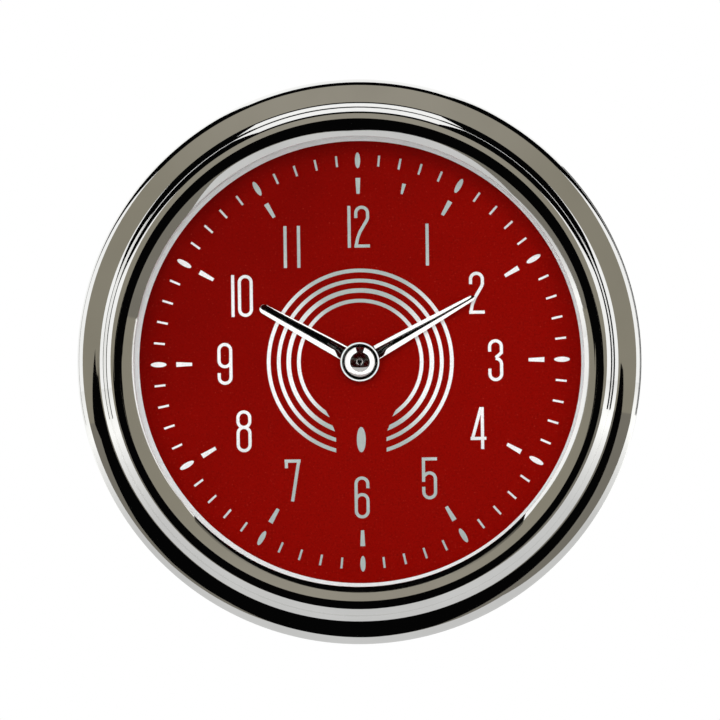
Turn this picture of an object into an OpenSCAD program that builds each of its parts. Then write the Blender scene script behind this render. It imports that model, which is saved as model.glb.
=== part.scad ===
// Dashboard clock: a chromed bezel crimped on a drawn steel case, a two-hand quartz
// movement behind the dial, and a clamp bracket on two studs at the rear.
// Drawn along its own axis: x to the right, y up, z to the front, with z = 0 on the
// bezel's seat, where the panel's front face comes. upright() turns the dial to -Y.
// The motion work under the dial and the wheel train are involute gears in mesh.

/* [Bezel and glass] */
// Reach of the bezel past the case barrel
bezel_overhang = 3.95; // [3.6:0.05:6]
// Thickness of the bezel's side wall and lips
bezel_wall = 0.7; // [0.5:0.05:1]
// Step from the spacer ring's mouth out to the bezel's front lip
lip_reveal = 0.1; // [0.05:0.05:0.4]
// Height of the bezel's crown in front of the gasket
crown_h = 1.9; // [1.7:0.1:2.4]
// Radius of the roll's shoulder
shoulder_r = 1.75; // [1.4:0.05:2]
// Radius of the roll's broad face
roll_face_r = 5.75; // [5:0.25:7]
// Radius of the hollow between the roll and the step up to the crown
hollow_r = 0.7; // [0.5:0.05:0.9]
// Width of the step
step_w = 0.8; // [0.6:0.05:0.9]
// Radius of the crown on its outer side
crown_out_r = 1.05; // [0.9:0.05:1.2]
// Radius of the crown on its inner side
crown_in_r = 1.5; // [1.3:0.05:1.6]
// Thickness of the front lip's edge
lip_edge_t = 0.85; // [0.6:0.05:0.9]
// Radius of the bezel's rear corner
rear_corner_r = 0.6; // [0.2:0.1:1]
// Thickness of the glass
lens_t = 1.8; // [1:0.1:3]
// How far the glass stays inside the edge of the ring that carries it
lens_in = 2.8; // [2.6:0.1:3.2]
// Thickness of the gasket under the front lip
gasket_t = 0.5; // [0.3:0.1:1]
// Width of the gasket
gasket_w = 2; // [1.6:0.1:2.3]

/* [Case] */
// Outside diameter of the case barrel
case_d = 52.4; // [51.6:0.1:53.6]
// Depth of the case behind the panel's front face
case_depth = 32; // [31:0.5:45]
// Sheet thickness of the case
case_wall = 0.8; // [0.6:0.1:1.2]
// Outer radius of the case's rear corner
case_corner_r = 2; // [1.4:0.1:2.4]
// Thickness of the case's front flange
flange_t = 0.8; // [0.6:0.1:1.5]

/* [Dial and hands] */
// Thickness of the dial
dial_t = 0.8; // [0.5:0.1:1.2]
// Width of the dial's edge under the spacer ring
dial_edge_w = 1.6; // [1:0.1:2.4]
// Width of the spacer ring's slope between dial and glass
ring_slope_w = 0.35; // [0.2:0.05:0.6]
// Height of the spacer ring between case flange and glass
ring_h = 2.5; // [1.5:0.1:4]
// Room between dial and glass
hand_room = 4.2; // [4:0.1:6]
// Length of the hour hand from the centre
hour_hand_l = 12.05; // [10:0.05:14]
// Width of the hour hand at its root
hour_root_w = 1.6; // [1.2:0.1:2]
// Width of the hour hand at its tip
hour_tip_w = 0.75; // [0.5:0.05:1]
// Length of the minute hand from the centre
minute_hand_l = 14.05; // [12:0.05:20]
// Width of the minute hand at its root
minute_root_w = 1.55; // [1.2:0.05:2]
// Width of the minute hand at its tip
minute_tip_w = 0.32; // [0.3:0.02:0.6]
// Thickness of a hand at its flat top
hand_t = 0.5; // [0.3:0.05:0.7]
// Thickness of a hand at its edges
hand_edge_t = 0.16; // [0.1:0.02:0.25]
// Diameter of the boss of a hand
boss_d = 4.0; // [3.6:0.1:4.6]
// Diameter of the hub cap
cap_d = 3.3; // [2.6:0.1:3.6]
// Height of the hub cap
cap_h = 1.1; // [0.9:0.1:1.3]
// Hour hand, degrees clockwise from twelve
hour_angle = -60.4; // [-180:0.1:180]
// Minute hand, degrees clockwise from twelve
minute_angle = 61.1; // [-180:0.1:180]

/* [Movement] */
// Gap between the case bore and the movement plates
plate_gap = 2.8; // [2:0.1:3.4]
// Thickness of the movement plates
plate_t = 1.5; // [1:0.1:2]
// Room for the motion work between front plate and dial
motion_room = 4; // [3.8:0.1:5]
// Thickness of the wheels
wheel_t = 0.6; // [0.4:0.05:0.7]
// Diameter of the pillars between the plates
pillar_d = 3.2; // [2.6:0.1:3.6]
// Distance of the pillars from the plates' edge
pillar_in = 3.1; // [2.6:0.1:3.6]
// Diameter of the centre arbor
centre_arbor_d = 1.2; // [1:0.05:1.3]
// Outside diameter of the cannon pinion's pipe
cannon_pipe_d = 1.9; // [1.8:0.05:2]
// Outside diameter of the hour wheel's pipe
hour_pipe_d = 2.7; // [2.5:0.05:2.9]
// Diameter of the third and rotor arbors
arbor_d = 1; // [0.8:0.05:1.1]
// Diameter of their pivots
pivot_d = 0.6; // [0.4:0.05:0.7]
// Diameter of the setting shaft
set_shaft_d = 2; // [1.6:0.1:2.2]
// Diameter of the rotor magnet
magnet_d = 4; // [3:0.1:4.4]
// Height of the rotor magnet
magnet_h = 2.2; // [1.6:0.1:2.6]
// Air gap between magnet and stator
air_gap = 0.5; // [0.3:0.05:0.8]
// Thickness of the stator
stator_t = 1; // [0.6:0.1:1.2]
// Thickness of the coil core
core_t = 1; // [0.6:0.1:1.2]
// Width of the coil core inside the coil
core_w = 2.2; // [1.6:0.1:2.6]
// Diameter of the bobbin's flanges
bobbin_d = 5.2; // [4.4:0.1:5.6]
// Length of the bobbin
bobbin_l = 12; // [8:0.5:12.5]

/* [Gears] */
// Distance from centre to minute wheel, and from there to the setting shaft
motion_axis_r = 6; // [5.8:0.05:6.2]
// Distance from centre to third arbor
third_axis_r = 10.8; // [10.6:0.05:11]
// Distance from third arbor to rotor
rotor_axis_r = 8.4; // [8.3:0.05:8.6]
// Teeth of the cannon pinion and of the setting pinion
cannon_teeth = 12; // [12:1:14]
// Teeth of the minute wheel
minute_teeth = 36; // [34:1:38]
// Leaves of the minute pinion
minute_leaves = 10; // [10:1:12]
// Teeth of the hour wheel
hour_teeth = 40; // [38:1:42]
// Teeth of the centre wheel
centre_teeth = 60; // [58:1:62]
// Leaves of the third pinion
third_leaves = 12; // [11:1:13]
// Teeth of the third wheel
third_teeth = 60; // [58:1:62]
// Leaves of the rotor pinion
rotor_leaves = 10; // [10:1:12]
// Thinning of each tooth for backlash
tooth_thinning = 0.03; // [0.02:0.01:0.05]

/* [Electronics] */
// Thickness of the circuit board
board_t = 1.4; // [1:0.1:1.6]
// Distance of the circuit board's round edge from the plates' edge
board_in = 1.1; // [0.2:0.1:2]
// Height of the bosses that carry the board
board_boss_h = 1.2; // [1:0.1:2]
// Diameter of the capacitor
capacitor_d = 5; // [4:0.5:6]
// Height of the capacitor
capacitor_h = 7; // [4:0.5:9]
// Diameter of the crystal's can
crystal_d = 2; // [1.5:0.1:3]
// Length of the crystal's can
crystal_l = 6; // [5:0.5:7]

/* [Rear fittings] */
// Thickest panel that the clamp takes
panel_max = 6; // [4:0.5:8]
// Thinnest panel that the clamp takes
panel_min = 1.5; // [1:0.1:3]
// Diameter of the mounting studs
stud_d = 4; // [3:0.5:5]
// Distance between the mounting studs
stud_pitch = 32; // [30:0.5:34]
// Outside diameter of the sleeves on the studs
sleeve_d = 6.4; // [6:0.1:7]
// Thickness of the thin nuts against the case
stud_nut_t = 2.2; // [1.6:0.1:3]
// Width across corners of the thin nuts
stud_nut_d = 8; // [7.4:0.1:9]
// Width of the clamp bracket
bracket_w = 12.7; // [8:0.1:13]
// Sheet thickness of the clamp bracket
bracket_t = 1.6; // [1.2:0.1:1.6]
// Inner bend radius of the clamp bracket
bend_r = 2; // [1:0.1:3]
// Gap between case barrel and bracket legs
leg_gap = 1.2; // [0.6:0.1:1.4]
// Thickness of the clamp washers
washer_t = 0.8; // [0.5:0.1:1.5]
// Diameter of the clamp washers
washer_d = 9; // [8:0.1:11]
// Diameter of the knurled clamp nuts
nut_d = 10; // [8:0.1:12]
// Height of the knurled clamp nuts
nut_h = 5; // [3:0.1:8]
// Diameter of the setting knob
knob_d = 8.4; // [6:0.1:9]
// Height of the setting knob
knob_h = 6; // [4:0.1:9]
// Width of a supply blade
blade_w = 6.3; // [4.8:0.1:6.3]
// Thickness of a supply blade
blade_t = 0.8; // [0.5:0.05:1]
// Length of a supply blade
blade_l = 9; // [6:0.1:12]
// Diameter of the supply leads
lead_d = 1; // [0.6:0.1:1.4]
// Distance of lamp and supply blades from the outside of the case
rear_in = 10.7; // [10:0.1:12]
// Diameter of the lamp hole
lamp_hole_d = 11; // [10:0.1:12]
// Diameter of the lamp bulb
bulb_d = 8; // [6.8:0.1:9]
// Length of the lamp bulb in front of its socket
bulb_l = 9; // [7:0.5:10]

/* [Clearances] */
// Radial clearance of a running fit
run_gap = 0.03; // [0.02:0.01:0.06]
// Radial clearance of a pressed or screwed fit
seat_gap = 0.01; // [0.01:0.005:0.03]
// Clearance of a piece that drops or slides into its place
slip_gap = 0.25; // [0.15:0.05:0.35]
// Clearance between pieces that turn past each other
turn_gap = 0.35; // [0.3:0.05:0.4]

/* [Hidden] */
$fn = 96;

// Overcut of a hole past the faces it opens
cut = 1;

// Stack in front of the panel, from the seat to the front of the roll
flange_back = bezel_wall;
flange_front = flange_back + flange_t;
lens_back = flange_front + ring_h;
lens_front = lens_back + lens_t;
lip_back = lens_front + gasket_t;
bezel_front = lip_back + crown_h;

// Radii of the bezel, the case and what they clamp
case_r = case_d / 2;
case_bore_r = case_r - case_wall;
bezel_r = case_r + bezel_overhang;
cavity_r = bezel_r - bezel_wall;
stack_r = cavity_r - slip_gap;
lens_r = stack_r - lens_in;
lens_cavity_r = lens_r + slip_gap;
ledge_z = lens_back + slip_gap;
seat_r = case_r + slip_gap;
dial_r = case_bore_r - slip_gap;
dial_view_r = dial_r - dial_edge_w;
ring_mouth_r = dial_view_r + ring_slope_w;
lip_r = ring_mouth_r + lip_reveal;
case_back = -case_depth;
wall_front = case_back + case_wall;

// Bezel roll, from the outside in: a tight shoulder runs into a broad face, and a hollow
// leads up a step to the crown, which falls away to the lip. Tilts are from the axis.
shoulder_tilt = 35;
face_tilt = 18;
step_tilt = 62;
inner_tilt = 40;
function lean(r, t) = r * [sin(t), cos(t)];
shoulder_z = bezel_front - shoulder_r * cos(shoulder_tilt) - crown_out_r * (1 - cos(step_tilt))
  - step_w * tan(step_tilt) - hollow_r * (cos(face_tilt) - cos(step_tilt))
  - roll_face_r * (cos(face_tilt) - cos(shoulder_tilt));
shoulder_c = [bezel_r - shoulder_r, shoulder_z];
roll_face_c = shoulder_c + lean(shoulder_r - roll_face_r, shoulder_tilt);
hollow_c = roll_face_c + lean(roll_face_r + hollow_r, face_tilt);
crown_c = hollow_c - lean(hollow_r + crown_out_r, step_tilt) + step_w * [-1, tan(step_tilt)];
crown_in_c = crown_c + [0, crown_out_r - crown_in_r];
inner_edge = crown_in_c + lean(crown_in_r, -inner_tilt);
lip_edge = [lip_r, lip_back + lip_edge_t];
inner_pull = inner_edge + (inner_edge[0] - lip_r) / 2 * [-1, -tan(inner_tilt)];

// Levels behind the glass
dial_front = lens_back - hand_room;
dial_back = dial_front - dial_t;
plate_front = dial_back - motion_room;
plate_back = plate_front - plate_t;
hour_hand_z = dial_front + turn_gap;
hour_hand_top = hour_hand_z + hand_t;
minute_hand_z = hour_hand_top + turn_gap;
minute_hand_top = minute_hand_z + hand_t;
cap_base_t = 0.4;
arbor_top = minute_hand_top + cap_base_t;

// Motion work levels, counted from the front plate
end_shake = 0.1;
bush_stand = 0.2;
cannon_z = plate_front + bush_stand + end_shake;
cannon_h = 1;
minute_wheel_z = cannon_z + (cannon_h - wheel_t) / 2;
hour_wheel_z = minute_wheel_z + wheel_t + 2 * turn_gap;
minute_pinion_top = hour_wheel_z + wheel_t + turn_gap;
post_top = minute_pinion_top + turn_gap;

// Train levels, counted from the back plate
layer_gap = 0.6;
leaf_over = 0.25;
centre_wheel_up = layer_gap;
third_wheel_up = centre_wheel_up + wheel_t + layer_gap;
magnet_up = third_wheel_up + wheel_t + layer_gap;
stator_up = magnet_up + (magnet_h - stator_t) / 2;
core_up = stator_up + stator_t;
coil_up = core_up + core_t / 2;
train_room = coil_up + bobbin_d / 2 + turn_gap;
back_front = plate_back - train_room;
back_back = back_front - plate_t;
centre_wheel_z = back_front + centre_wheel_up;
third_wheel_z = back_front + third_wheel_up;
magnet_z = back_front + magnet_up;
stator_z = back_front + stator_up;
core_z = back_front + core_up;
coil_z = back_front + coil_up;
board_front = back_back - board_boss_h;
board_back = board_front - board_t;

// Radii in the movement
centre_arbor_r = centre_arbor_d / 2;
cannon_pipe_r = cannon_pipe_d / 2;
hour_pipe_r = hour_pipe_d / 2;
arbor_r = arbor_d / 2;
pivot_r = pivot_d / 2;
post_r = 0.5;
set_shaft_r = set_shaft_d / 2;
plate_r = case_bore_r - plate_gap;
board_r = plate_r - board_in;
board_edge = 7.5;
pillar_r = pillar_d / 2;
screw_r = 0.8;
screw_head_r = 1.5;
screw_head_t = 0.8;
plate_screw_in = 3;
screw_room = 0.3;
screw_boss_wall = 1;
hub_bush_r = 1.4;
bush_rim_w = 0.6;
bush_rim_t = 0.5;
arbor_collar_w = 0.5;
centre_hub_r = 2;
minute_hub_r = 1.4;
third_hub_r = 1.6;
hour_hub_w = 0.5;
set_collar_w = 0.8;
set_collar_t = 0.8;
boss_step = 0.08;
hour_boss_r = boss_d / 2;
minute_boss_r = hour_boss_r + boss_step;
// Share of a hand's width that is flat, share of its length where the top starts to fall,
// and how the tip narrows
hand_flat = 0.45;
hip_at = 0.965;
tip_narrow = 0.6;
tip_rise = 1.2;

// Places in the plane of the plates
function polar(r, a) = [r * cos(a), r * sin(a)];
down = -90;
third_dir = 165;
rotor_dir = 70;
minute_at = polar(motion_axis_r, down);
set_axis_r = motion_module(cannon_teeth, minute_teeth) * (cannon_teeth + minute_teeth) / 2;
set_at = minute_at + polar(set_axis_r, down);
third_at = polar(third_axis_r, third_dir);
rotor_at = third_at + polar(rotor_axis_r, rotor_dir);
motor_turn = atan2(rotor_at[1], rotor_at[0]) - 90;
pillar_at = [for (a = [75, 195, 315]) polar(plate_r - pillar_in, a)];
foot_in = [5.6, 5.1];
foot_at = [polar(plate_r - foot_in[0], 24), polar(plate_r - foot_in[1], 257)];
stud_at = [[-stud_pitch / 2, 0], [stud_pitch / 2, 0]];
board_screw_at = [[-8.5, -9.8], [8.5, -9.8]];
terminal_x = 12;
terminal_at = [[-terminal_x, rear_in - case_r], [terminal_x, rear_in - case_r]];
lamp_at = [0, case_r - rear_in];
board_part_gap = 0.4;
capacitor_at = board_screw_at[1] + [screw_head_r + capacitor_d / 2 + board_part_gap, 0];
crystal_in = 2.8;
crystal_at = polar(board_r - crystal_in, -104);
chip_in = 4.1;
chip_at = polar(board_r - chip_in, -73);
chip_w = 5;
chip_l = 4;
chip_h = 1.4;

// Motor frame: the stator bar lies along x through the rotor, the coil beside it at coil_y
motor_arm = 8;
arm_at = [[-motor_arm, 0], [motor_arm, 0]];
coil_y = 6.3;
stator_w = 4;
stator_eye_r = magnet_d / 2 + air_gap;
stator_eye_wall = 1.2;
core_arm_w = 3;
bobbin_flange_t = 0.6;
bobbin_wall = 0.3;
bobbin_tube_r = norm([core_w, core_t]) / 2 + bobbin_wall;
winding_in = 0.25;
winding_r = bobbin_d / 2 - winding_in;

// Dial feet
foot_r = 1.25;
foot_pin_r = 0.8;
foot_pin_over = 0.3;
foot_nut_t = 1;
foot_nut_r = 1.7;

// Clamp
clamp_travel = panel_max - panel_min;
clamp_front = case_back - stud_nut_t - clamp_travel - slip_gap;
clamp_back = clamp_front - bracket_t;
washer_back = clamp_back - washer_t;
nut_back = washer_back - nut_h;
stud_over = 2;
stud_back = nut_back - stud_over;
nut_grooves = 28;
neck_h = 1;
neck_in = 0.8;
stud_r = stud_d / 2;
leg_x = case_r + leg_gap;

// Rear wall fittings
knob_gap = 0.8;
knob_grooves = 18;
knob_end_t = 1.5;
bush_flange_t = 0.9;
bush_wall = 1.1;
bush_over = 0.6;
bush_r = set_shaft_r + bush_wall;
bush_flange_r = bush_r + bush_wall;
knob_front = case_back - bush_flange_t - knob_gap;
knob_back = knob_front - knob_h;
shaft_in_knob = knob_h - knob_end_t;
insulator_flange_t = 1.5;
insulator_flange_r = 4;
insulator_inner_t = 1;
insulator_inner_r = 3.2;
insulator_r = 2.4;
tail_w = 3;
tail_over = 1;
tail_front = wall_front + insulator_inner_t + tail_over;
blade_front = case_back - insulator_flange_t;
lamp_hole_r = lamp_hole_d / 2;
socket_r = lamp_hole_r - slip_gap;
socket_flange_t = 1.2;
socket_flange_w = 1.5;
socket_flange_r = lamp_hole_r + socket_flange_w;
grip_in = 0.9;
grip_flats = 0.75;
socket_grip_r = lamp_hole_r - grip_in;
socket_grip_l = 6;
socket_inner_l = 3.4;
socket_front = wall_front + socket_inner_l;
socket_back = case_back - socket_flange_t - socket_grip_l;
lug_over = 1.1;
lug_r = lamp_hole_r + lug_over;
lug_w = 3;
lug_t = 1;
bulb_r = bulb_d / 2;
bulb_neck_r = 3;
bulb_neck_l = 4.5;
bulb_step = 0.5;
contact_w = 4.8;
contact_t = 0.5;
contact_y = 2;
contact_at = [[0, -contact_y], [0, contact_y]];
contact_in = 3;
contact_out = 5;

// Gear teeth: involute flanks, with the pinions' profiles shifted out and the wheels' shifted in
pressure_angle = 20;
addendum = 0.9;
dedendum = 1.25;
flank_steps = 3;
rim_depth = 2.5;
spoke_w = 0.9;
function leaf_shift(n) = max(0, (17 - n) / 17);
function motion_module(a, b) = 2 * motion_axis_r / (a + b);
cannon_m = motion_module(cannon_teeth, minute_teeth);
hour_m = motion_module(minute_leaves, hour_teeth);
centre_m = 2 * third_axis_r / (centre_teeth + third_leaves);
third_m = 2 * rotor_axis_r / (third_teeth + rotor_leaves);
function involute(a) = tan(a) * 180 / PI - a;
function root_r(n, m, x) = n * m / 2 - (dedendum - x) * m;
function tip_r(n, m, x) = n * m / 2 + (addendum + x) * m;
function base_r(n, m) = n * m / 2 * cos(pressure_angle);
function tooth_half(n, m, x, r) =
  ((PI / 2 + 2 * x * tan(pressure_angle)) * m - tooth_thinning) / (n * m) * 180 / PI
  + involute(pressure_angle) - involute(acos(min(1, base_r(n, m) / r)));
function flank(n, m, x) =
  let (from = max(root_r(n, m, x), base_r(n, m)), to = tip_r(n, m, x))
  let (curve = [for (i = [0 : flank_steps]) from + (to - from) * i / flank_steps])
  let (run = [for (r = curve) [r, tooth_half(n, m, x, r)]])
  from > root_r(n, m, x) ? concat([[root_r(n, m, x), run[0][1]]], run) : run;
function gear_outline(n, m, x, turn) =
  let (side = flank(n, m, x))
  [for (i = [0 : n - 1]) each concat(
    [for (p = side) polar(p[0], turn + i * 360 / n - p[1])],
    [for (j = [len(side) - 1 : -1 : 0]) polar(side[j][0], turn + i * 360 / n + side[j][1])])];
// Turn of gear b that puts one of its gaps where a tooth of gear a points along dir
function mesh_turn(turn_a, n_a, n_b, dir) = dir + 180 - 180 / n_b - (turn_a - dir) * n_a / n_b;
minute_turn = mesh_turn(0, cannon_teeth, minute_teeth, down);
hour_turn = mesh_turn(0, minute_leaves, hour_teeth, -down);
set_turn = mesh_turn(minute_turn, minute_teeth, cannon_teeth, down);
third_turn = mesh_turn(0, centre_teeth, third_leaves, third_dir);
rotor_turn = mesh_turn(0, third_teeth, rotor_leaves, rotor_dir);

function arc(c, r, from, to, steps = 10) =
  [for (i = [0 : steps]) c + polar(r, from + (to - from) * i / steps)];
// Curve from a to c that leaves towards b, without its first point
function bend(a, b, c, steps = 8) =
  [for (i = [1 : steps]) let (t = i / steps) (1 - t) ^ 2 * a + 2 * t * (1 - t) * b + t ^ 2 * c];

module upright() rotate([90, 0, 0]) children();

module rod(r, from, to) translate([0, 0, from]) cylinder(r = r, h = to - from);

module hole(r, from, to) rod(r, from - cut, to + cut);

module block(w, h, from, to) translate([-w / 2, -h / 2, from]) cube([w, h, to - from]);

module at(places) for (p = places) translate(p) children();

module pinion(n, m, turn, from, to) translate([0, 0, from]) linear_extrude(to - from)
  polygon(gear_outline(n, m, leaf_shift(n), turn));

// Wheel with four crossings, made to mesh with a pinion of the given count
module wheel(n, m, turn, leaves, hub_r, from) translate([0, 0, from]) linear_extrude(wheel_t)
  difference() {
    polygon(gear_outline(n, m, -leaf_shift(leaves), turn));
    crossings(hub_r, root_r(n, m, -leaf_shift(leaves)) - rim_depth * m);
  }

module crossings(hub_r, rim_r) difference() {
  circle(rim_r);
  circle(hub_r);
  for (a = [0, 90]) rotate(a) square([2 * rim_r + cut, spoke_w], center = true);
}

module in_motor() translate(rotor_at) rotate(motor_turn) children();

// Knurled round stock
module knurled(r, count, from, to) translate([0, 0, from]) linear_extrude(to - from)
  difference() {
    circle(r);
    for (i = [0 : count - 1]) translate(polar(r, i * 360 / count)) circle(r * PI / count / 2);
  }

// Hand blade along y with a flat top and bevelled sides, hipped at the tip
module blade(root_w, tip_w, from, to) {
  hip = from + (to - from) * hip_at;
  hip_w = root_w + (tip_w - root_w) * hip_at;
  function section(y, w, top) = [
    [-w / 2, y, 0], [w / 2, y, 0], [w / 2, y, hand_edge_t],
    [w / 2 * hand_flat, y, top], [-w / 2 * hand_flat, y, top], [-w / 2, y, hand_edge_t]
  ];
  rings = concat(section(from, root_w, hand_t), section(hip, hip_w, hand_t),
    section(to, tip_w * tip_narrow, hand_edge_t * tip_rise));
  sides = [for (s = [0, 6], i = [0 : 5]) each [
    [s + i, s + (i + 1) % 6, s + 6 + i], [s + (i + 1) % 6, s + 6 + (i + 1) % 6, s + 6 + i]]];
  polyhedron(rings, concat([[5, 4, 3, 2, 1, 0]], sides, [[12, 13, 14, 15, 16, 17]]));
}

module hand(angle, root_w, tip_w, l, boss_r, bore_r, z) translate([0, 0, z]) rotate(-angle)
  difference() {
    union() {
      blade(root_w, tip_w, 0, l);
      rod(boss_r, 0, hand_t);
    }
    hole(bore_r, 0, hand_t);
  }

module bezel() color("silver") upright() rotate_extrude() polygon(concat(
  [[seat_r, 0]],
  arc([bezel_r - rear_corner_r, rear_corner_r], rear_corner_r, -90, 0, 6),
  arc(shoulder_c, shoulder_r, 0, 90 - shoulder_tilt),
  arc(roll_face_c, roll_face_r, 90 - shoulder_tilt, 90 - face_tilt),
  arc(hollow_c, hollow_r, 270 - face_tilt, 270 - step_tilt),
  arc(crown_c, crown_out_r, 90 - step_tilt, 90),
  arc(crown_in_c, crown_in_r, 92, 90 + inner_tilt),
  bend(inner_edge, inner_pull, lip_edge),
  [[lip_r, lip_back], [lens_cavity_r, lip_back], [lens_cavity_r, ledge_z], [cavity_r, ledge_z]],
  [[cavity_r, bezel_wall], [seat_r, bezel_wall]]
));

module lens() color("lightcyan", 0.4) upright() rod(lens_r, lens_back, lens_front);

module lens_gasket() color("#202020") upright() difference() {
  rod(lens_r, lens_front, lip_back);
  hole(lens_r - gasket_w, lens_front, lip_back);
}

// Rests on the case flange, carries the glass, and its skirt holds the dial's edge
module spacer_ring() color("gainsboro") upright() rotate_extrude() polygon([
  [dial_view_r, dial_front], [dial_r, dial_front], [dial_r, flange_front],
  [stack_r, flange_front], [stack_r, lens_back], [ring_mouth_r, lens_back]
]);

module dial() color("#7c0702") upright() difference() {
  rod(dial_r, dial_back, dial_front);
  hole(hour_pipe_r + turn_gap, dial_back, dial_front);
}

module dial_feet() color("goldenrod") upright() at(foot_at) {
  rod(foot_r, plate_front, dial_back);
  rod(foot_pin_r, plate_back - foot_nut_t - foot_pin_over, plate_front);
}

module dial_feet_nuts() color("goldenrod") upright() at(foot_at) difference() {
  translate([0, 0, plate_back - foot_nut_t]) cylinder(r = foot_nut_r, h = foot_nut_t, $fn = 6);
  hole(foot_pin_r + seat_gap, plate_back - foot_nut_t, plate_back);
}

module case() color("#8a8d90") upright() difference() {
  corner_c = [case_r - case_corner_r, case_back + case_corner_r];
  rotate_extrude() polygon(concat(
    [[stack_r, flange_back], [stack_r, flange_front], [case_bore_r, flange_front]],
    arc(corner_c, case_corner_r - case_wall, 0, -90, 6),
    [[0, wall_front], [0, case_back]],
    arc(corner_c, case_corner_r, -90, 0, 6),
    [[case_r, flange_back]]
  ));
  at(stud_at) hole(stud_r + slip_gap, case_back, wall_front);
  at(terminal_at) hole(insulator_r + seat_gap, case_back, wall_front);
  translate(set_at) hole(bush_r + seat_gap, case_back, wall_front);
  translate(lamp_at) {
    hole(lamp_hole_r, case_back, wall_front);
    block(lug_w + 2 * slip_gap, 2 * (lug_r + slip_gap), case_back - cut, wall_front + cut);
  }
}

module front_plate() color("tan") upright() difference() {
  union() {
    rod(plate_r, plate_back, plate_front);
    in_motor() at(arm_at) rod(core_arm_w / 2, core_z + core_t, plate_back);
  }
  hole(hub_bush_r + seat_gap, plate_back, plate_front);
  translate(minute_at) hole(post_r + seat_gap, plate_back, plate_front);
  translate(set_at) hole(set_shaft_r + run_gap, plate_back, plate_front);
  translate(third_at) hole(pivot_r + run_gap, plate_back, plate_front);
  translate(rotor_at) hole(pivot_r + run_gap, plate_back, plate_front);
  at(pillar_at) hole(screw_r + seat_gap, plate_back, plate_front);
  at(foot_at) hole(foot_pin_r + seat_gap, plate_back, plate_front);
  in_motor() at(arm_at)
    rod(screw_r + seat_gap, core_z + core_t - cut, plate_back + plate_t / 2);
}

module back_plate() color("tan") upright() difference() {
  union() {
    rod(plate_r, back_back, back_front);
    at(board_screw_at) rod(screw_r + screw_boss_wall, board_front, back_back);
  }
  hole(centre_arbor_r + run_gap, back_back, back_front);
  translate(set_at) hole(set_shaft_r + run_gap, back_back, back_front);
  translate(third_at) hole(pivot_r + run_gap, back_back, back_front);
  translate(rotor_at) hole(pivot_r + run_gap, back_back, back_front);
  at(pillar_at) hole(screw_r + seat_gap, back_back, back_front);
  at(stud_at) hole(stud_r + seat_gap, back_back, back_front);
  at(board_screw_at) hole(screw_r + seat_gap, board_front, back_front);
}

// Pillars with a spigot riveted in the front plate and a tapped hole at the back
module plate_pillars() color("goldenrod") upright() at(pillar_at) difference() {
  union() {
    rod(pillar_r, back_front, plate_back);
    rod(screw_r, plate_back, plate_front);
  }
  rod(screw_r + seat_gap, back_front - cut, back_front + plate_screw_in);
}

module plate_screws() color("lightsteelblue") upright() at(pillar_at) {
  rod(screw_head_r, back_back - screw_head_t, back_back);
  rod(screw_r, back_back, back_front + plate_screw_in - screw_room);
}

// Brass bearing of the centre arbor
module centre_bush() color("goldenrod") upright() difference() {
  union() {
    rod(hub_bush_r, plate_back, plate_front + bush_stand);
    rod(hub_bush_r + bush_rim_w, plate_back - bush_rim_t, plate_back);
  }
  hole(centre_arbor_r + run_gap, plate_back, plate_front);
}

module minute_wheel_post() color("lightsteelblue") upright() translate(minute_at)
  rod(post_r, plate_back, post_top);

module centre_arbor() color("lightsteelblue") upright() {
  rod(centre_arbor_r, back_back, arbor_top);
  rod(centre_arbor_r + arbor_collar_w, centre_wheel_z + wheel_t, centre_wheel_z + wheel_t + layer_gap);
}

module centre_wheel() color("gold") upright() difference() {
  wheel(centre_teeth, centre_m, 0, third_leaves, centre_hub_r, centre_wheel_z);
  hole(centre_arbor_r + seat_gap, centre_wheel_z, centre_wheel_z + wheel_t);
}

module cannon_pinion() color("lightsteelblue") upright() difference() {
  union() {
    pinion(cannon_teeth, cannon_m, 0, cannon_z, cannon_z + cannon_h);
    rod(cannon_pipe_r, cannon_z, minute_hand_top);
  }
  hole(centre_arbor_r + seat_gap, cannon_z, minute_hand_top);
}

module minute_hand() color("silver") upright() hand(minute_angle, minute_root_w, minute_tip_w,
  minute_hand_l, minute_boss_r, cannon_pipe_r + seat_gap, minute_hand_z);

// Dome pressed on the end of the centre arbor
module hub_cap() color("silver") upright() difference() {
  cap_r = cap_d / 2;
  dome_h = cap_h - cap_base_t;
  dome_r = (cap_r * cap_r + dome_h * dome_h) / (2 * dome_h);
  intersection() {
    rod(cap_r, minute_hand_top, minute_hand_top + cap_h);
    translate([0, 0, minute_hand_top + cap_h - dome_r]) sphere(dome_r);
  }
  rod(centre_arbor_r + seat_gap, minute_hand_top - cut, arbor_top);
}

module hour_wheel() color("gold") upright() difference() {
  union() {
    wheel(hour_teeth, hour_m, hour_turn, minute_leaves, hour_pipe_r + hour_hub_w, hour_wheel_z);
    rod(hour_pipe_r, hour_wheel_z, hour_hand_top);
  }
  hole(cannon_pipe_r + run_gap, hour_wheel_z, hour_hand_top);
}

module hour_hand() color("silver") upright() hand(hour_angle, hour_root_w, hour_tip_w,
  hour_hand_l, hour_boss_r, hour_pipe_r + seat_gap, hour_hand_z);

// Minute wheel with the pinion that drives the hour wheel
module minute_wheel() color("gold") upright() translate(minute_at) difference() {
  union() {
    wheel(minute_teeth, cannon_m, minute_turn, cannon_teeth, minute_hub_r, minute_wheel_z);
    pinion(minute_leaves, hour_m, 0, minute_wheel_z, minute_pinion_top);
  }
  hole(post_r + run_gap, minute_wheel_z, minute_pinion_top);
}

module third_pinion() color("lightsteelblue") upright() translate(third_at) {
  rod(pivot_r, back_back, plate_front);
  rod(arbor_r, back_front + end_shake, plate_back - end_shake);
  pinion(third_leaves, centre_m, third_turn,
    centre_wheel_z - leaf_over, centre_wheel_z + wheel_t + leaf_over);
}

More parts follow.
